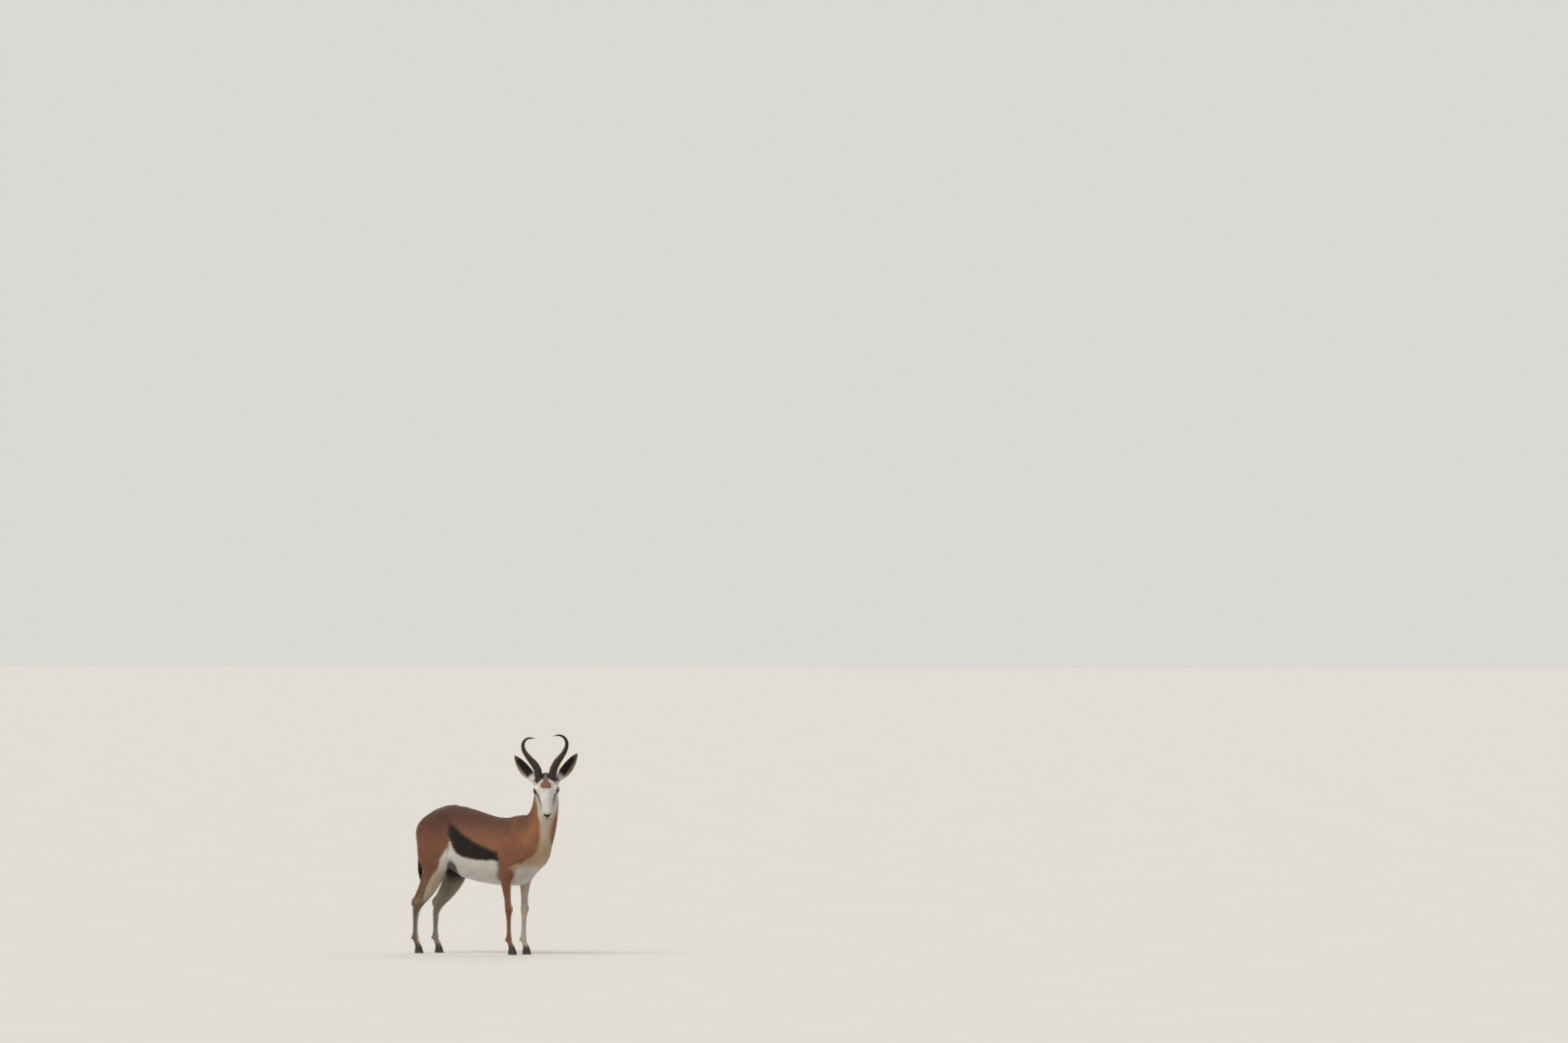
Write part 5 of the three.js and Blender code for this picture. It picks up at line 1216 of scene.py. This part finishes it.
grow(12, 13, throat)
legs_both = np.clip(fore + hind, 0, 1)
for long_hair, many, high, low in ((9, 17, 560, 430), (6.5, 27, 380, 250), (4.5, 42, 90, 60)):
    grow(long_hair, many, legs_both * ease(z, high, low))            # shorter down the legs
grow(22, 12, trunk * ease(nz, -0.35, -0.8) * ease(z, 560, 540))      # longer under the belly
grow(19, 14, back_end * ease(np.abs(y), patch + 4, patch - 8))       # and on the white rump
grow(5.2, 52, head)
grow(3, 70, head * ease(hx, 50, 105))                                # shortest on the muzzle
ears = share_of(EARS, 1)
grow(5.2, 52, ears)
grow(9, 30, tail)
# No hair grows on the lids, the nostrils, the horns' roots, the lips and in the hooves' clefts.
near_eye = eye_gap < NEAR_EYE
bare = [ease(from_line(in_head, mouth_line)[0], 2.4, 1.6), ease(from_line(in_head, cleft_line)[0], 4.5, 3.5),
        ease(z, 40, 34) * legs_both]
for name, s in SIDES:
    rim = by_lids(s, 1.0)
    grow(3.8, 68, near_eye * ease(rim, 12, 4))
    from_horn, rise = by_horn(s, name)
    bare += [near_eye * np.maximum(ease(rim, 2.6, 1.8), ease(eye_gap, 23.4, 22.4)),
             ease(from_line(in_head, nostril_line[s])[0], 4.2, 3.2),
             ease(from_horn, 21, 19) * ease(rise, -14, -6)]
density *= np.max(bare, axis=0) < 0.5


def triangles_of(piece, what="vertices"):
    """The corners of a piece's triangles, as numbers of its vertices or of its loops."""
    piece.data.calc_loop_triangles()
    found = np.empty(len(piece.data.loop_triangles) * 3, np.int32)
    piece.data.loop_triangles.foreach_get(what, found)
    return found.reshape(-1, 3)


# Roots are drawn on the hide by area, so that the tufts stand evenly and never in rows.
corners = triangles_of(skin)
p0, p1, p2 = (place[corners[:, k]] for k in range(3))
face_way = np.cross(p1 - p0, p2 - p0)
area = np.linalg.norm(face_way, axis=1) / 200          # square centimetres
wanted = area * density[corners].mean(1)
count_there = np.floor(wanted + coat_rng.uniform(0, 1, len(wanted))).astype(int)
home = np.repeat(np.arange(len(corners)), count_there)
u, v = coat_rng.uniform(0, 1, (2, len(home)))
flip = u + v > 1
u[flip], v[flip] = 1 - u[flip], 1 - v[flip]
bary = np.stack([1 - u - v, u, v], 1)


def at_roots(values):
    """A value of the hide at each tuft's root."""
    values = np.asarray(values, float)
    return (values[corners[home]] * (bary if values.ndim == 1 else bary[:, :, None])).sum(1)


def dot(a, b):
    """How far a reaches along b, row by row."""
    return (a * b).sum(1)


root_place, root_out = at_roots(place), unit(at_roots(outward))
ahead = at_roots(lie)
aside = unit(np.cross(root_out, ahead))
# Each hair turns a little its own way, and the lie of the coat wanders over some 34 mm.
ahead = unit(ahead + aside * coat_rng.normal(0, 0.16, len(home))[:, None]
             + aside * 0.22 * ripple(root_place, 34, 12)[:, None])
ahead = unit(ahead - root_out * dot(ahead, root_out)[:, None])
side_way = np.cross(root_out, ahead)
hair = at_roots(length) * coat_rng.uniform(0.75, 1.2, len(home))
on_ear, on_head = at_roots(ears), at_roots(head)
half_wide = hair * between(hair, (3, 0.13), (6, 0.1), (12, 0.085), (20, 0.075)) * (1 - 0.25 * on_ear)
lift = coat_rng.uniform(5, 13, len(home)) + 3 * ripple(root_place, 15, 8) * (on_head < 0.5)   # degrees
lift = np.maximum(np.tan(np.radians(lift)), 0.05)
sunk = np.minimum(0.5, hair * 0.09)                    # the root's depth in the hide
base = root_place - root_out * sunk[:, None]
first = base - side_way * half_wide[:, None]
second = base + side_way * half_wide[:, None]
RIDGE_AT = 0.38
ridge = (root_place + ahead * (hair * RIDGE_AT)[:, None]
         + root_out * (hair * RIDGE_AT * lift + half_wide * 0.4)[:, None])
# The tip comes down with the form where the hide curves away under it.
hide_tree = BVHTree.FromPolygons(points_of(skin).tolist(), corners.tolist())
tip = root_place + ahead * hair[:, None] + root_out * (hair * lift * 0.85)[:, None]
near_hide = [hide_tree.find_nearest(Vector(p)) for p in metres(tip)]
under_tip = millimetres([hit[0] for hit in near_hide])
hide_out = np.array([hit[1] for hit in near_hide])
above = dot(tip - under_tip, hide_out)
room = hair * lift * 0.7 + 0.25
tip -= hide_out * ((above - np.clip(above, 0.2, room)) * (on_ear < 0.5))[:, None]
# In a tight fold the hair is left out, where it would stand into the other side.
sound = (dot(root_out, hide_out) > 0.35) | (on_ear > 0.5)
sound &= (dot(unit(tip - root_place), ahead) > 0.86) & (dot(unit(face_way)[home], root_out) > 0.8)

# The coat's colour is the marking at the root, darkened there as painted shade deep in the coat and lightened
# at the tip as painted light.
own_tone = coat_rng.uniform(0.84, 1.14, len(home)) * (1 + 0.07 * ripple(root_place, 11, 21))
root_colour = at_roots(coat_colour) * own_tone[:, None]
ROOT_SHADE, TIP_PAINTED_LIGHT = 0.76, 1.17
tuft_colour = np.stack([root_colour * shade for shade in (ROOT_SHADE, ROOT_SHADE, 1, TIP_PAINTED_LIGHT)], 1)
tuft_colour = np.clip(tuft_colour, 0.003, 0.95)
# A tuft is lit as if it were round: its corners' normals, three for each of its four triangles,
# fan out from the hide's own, and the underside's point into the hide.
right, left = unit(root_out - side_way * 0.4), unit(root_out + side_way * 0.4)
point = unit(root_out + ahead * 0.22)
tuft_normal = np.stack([right, root_out, left, right, point, root_out, root_out, point, left,
                        -root_out, -root_out, -root_out], 1)

# For the export each tuft is a small patch at its root's place on an unwrap of the hide's own form.
UNWRAP_FACES = 12000
shell = skin.copy()
shell.data = skin.data.copy()
shell.name = shell.data.name = "coat_unwrap"
shell.data.materials.clear()
bpy.context.scene.collection.objects.link(shell)
finished(shell, "DECIMATE", ratio=UNWRAP_FACES / len(skin.data.polygons))
edit(shell, lambda: bpy.ops.uv.smart_project(angle_limit=math.radians(66), island_margin=0.004))
shell_points, shell_faces = points_of(shell), triangles_of(shell)
shell_uv = np.empty(len(shell.data.loops) * 2, np.float32)
shell.data.uv_layers.active.uv.foreach_get("vector", shell_uv)
shell_uv = shell_uv.reshape(-1, 2)[triangles_of(shell, "loops")]
shell_tree = BVHTree.FromPolygons(shell_points.tolist(), shell_faces.tolist())
nearest = [shell_tree.find_nearest(Vector(p)) for p in metres(root_place)]
on_face_no = np.array([hit[2] for hit in nearest])
spot = np.array([hit[0] for hit in nearest])
q0, q1, q2 = (shell_points[shell_faces[on_face_no, k]] for k in range(3))
whole = np.cross(q1 - q0, q2 - q0)
size = np.maximum(dot(whole, whole), 1e-18)
w1 = dot(np.cross(spot - q0, q2 - q0), whole) / size
w2 = dot(np.cross(q1 - q0, spot - q0), whole) / size
root_uv = (shell_uv[on_face_no] * np.stack([1 - w1 - w2, w1, w2], 1)[:, :, None]).sum(1)
root_uv = np.clip(root_uv, 0.002, 0.998)
bpy.data.objects.remove(shell)
# A tuft's corners are two at its root, one on its ridge and its tip.
PATCH = np.array([(-0.0014, -0.0014), (0.0014, -0.0014), (0.0, 0.0002), (0.0, 0.0014)])
SPIKE = np.array([(0, 2, 1), (0, 3, 2), (2, 3, 1), (1, 3, 0)])

# The hair's own finish: matt with a soft sheen where it is seen against the light.
coat_hair, tree, shader = material("short smooth antelope hair", Roughness=0.72, Specular_IOR_Level=0.28,
                                   Sheen_Weight=0.16, Sheen_Roughness=0.45)
where = node(tree, "ShaderNodeTexCoord").outputs["Object"]
laid = node(tree, "ShaderNodeAttribute", {"attribute_name": "Coat"})
# Single hairs, about 1 mm apart, make each tuft a little uneven.
fine = node(tree, "ShaderNodeTexNoise", Vector=where, Scale=1000.0, Detail=1.0)
tone = node(tree, "ShaderNodeMapRange", _0=fine.outputs["Fac"], _1=0.3, _2=0.7, _3=0.9, _4=1.1)
fur_colour = node(tree, "ShaderNodeVectorMath", {"operation": "SCALE"}, _0=laid.outputs["Color"],
                  Scale=tone.outputs[0])
tree.links.new(fur_colour.outputs[0], shader.inputs["Base Color"])


home_solid = region[corners[home, 0]]


def coat_piece(name, nodes, side=True):
    """Makes one piece of the coat from the tufts that grow on these solids, or on one side of them."""
    chosen = np.nonzero(is_from(home_solid, *nodes) & side & sound)[0]
    points = np.stack([first[chosen], second[chosen], ridge[chosen], tip[chosen]], 1)
    triangles = (SPIKE[None] + np.arange(len(chosen))[:, None, None] * 4).reshape(-1, 3)
    piece = mesh_of(name, metres(points.reshape(-1, 3)), triangles)
    paint_points(piece, tuft_colour[chosen].reshape(-1, 3))
    uv = (root_uv[chosen][:, None] + PATCH[None])[:, SPIKE.ravel()].reshape(-1, 2)
    layer = piece.data.uv_layers.new(name="OFBake")
    layer.uv.foreach_set("vector", np.ascontiguousarray(uv, np.float32).ravel())
    piece.data.shade_smooth()
    piece.data.normals_split_custom_set(tuft_normal[chosen].reshape(-1, 3).tolist())
    piece.data.materials.append(coat_hair)
    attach(piece, "root")
    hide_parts(*nodes)


for side, s in SIDES:
    coat_piece(f"coat_trunk_{side}", ["torso"], (root_place[:, 1] > 0) == (s > 0))
    coat_piece(f"coat_ear_{side}", [f"ear_{side}"])
    for leg in ("foreleg", "hindleg"):
        coat_piece(f"coat_{leg}_{side}", [f"{leg}_upper_{side}", f"{leg}_lower_{side}"])
for solid, slot in (("rump", "coat_white"), ("neck", "coat_tawny"), ("head", "coat_face"),
                    ("tail", "coat_white")):
    coat_piece(f"coat_{solid}", [solid])
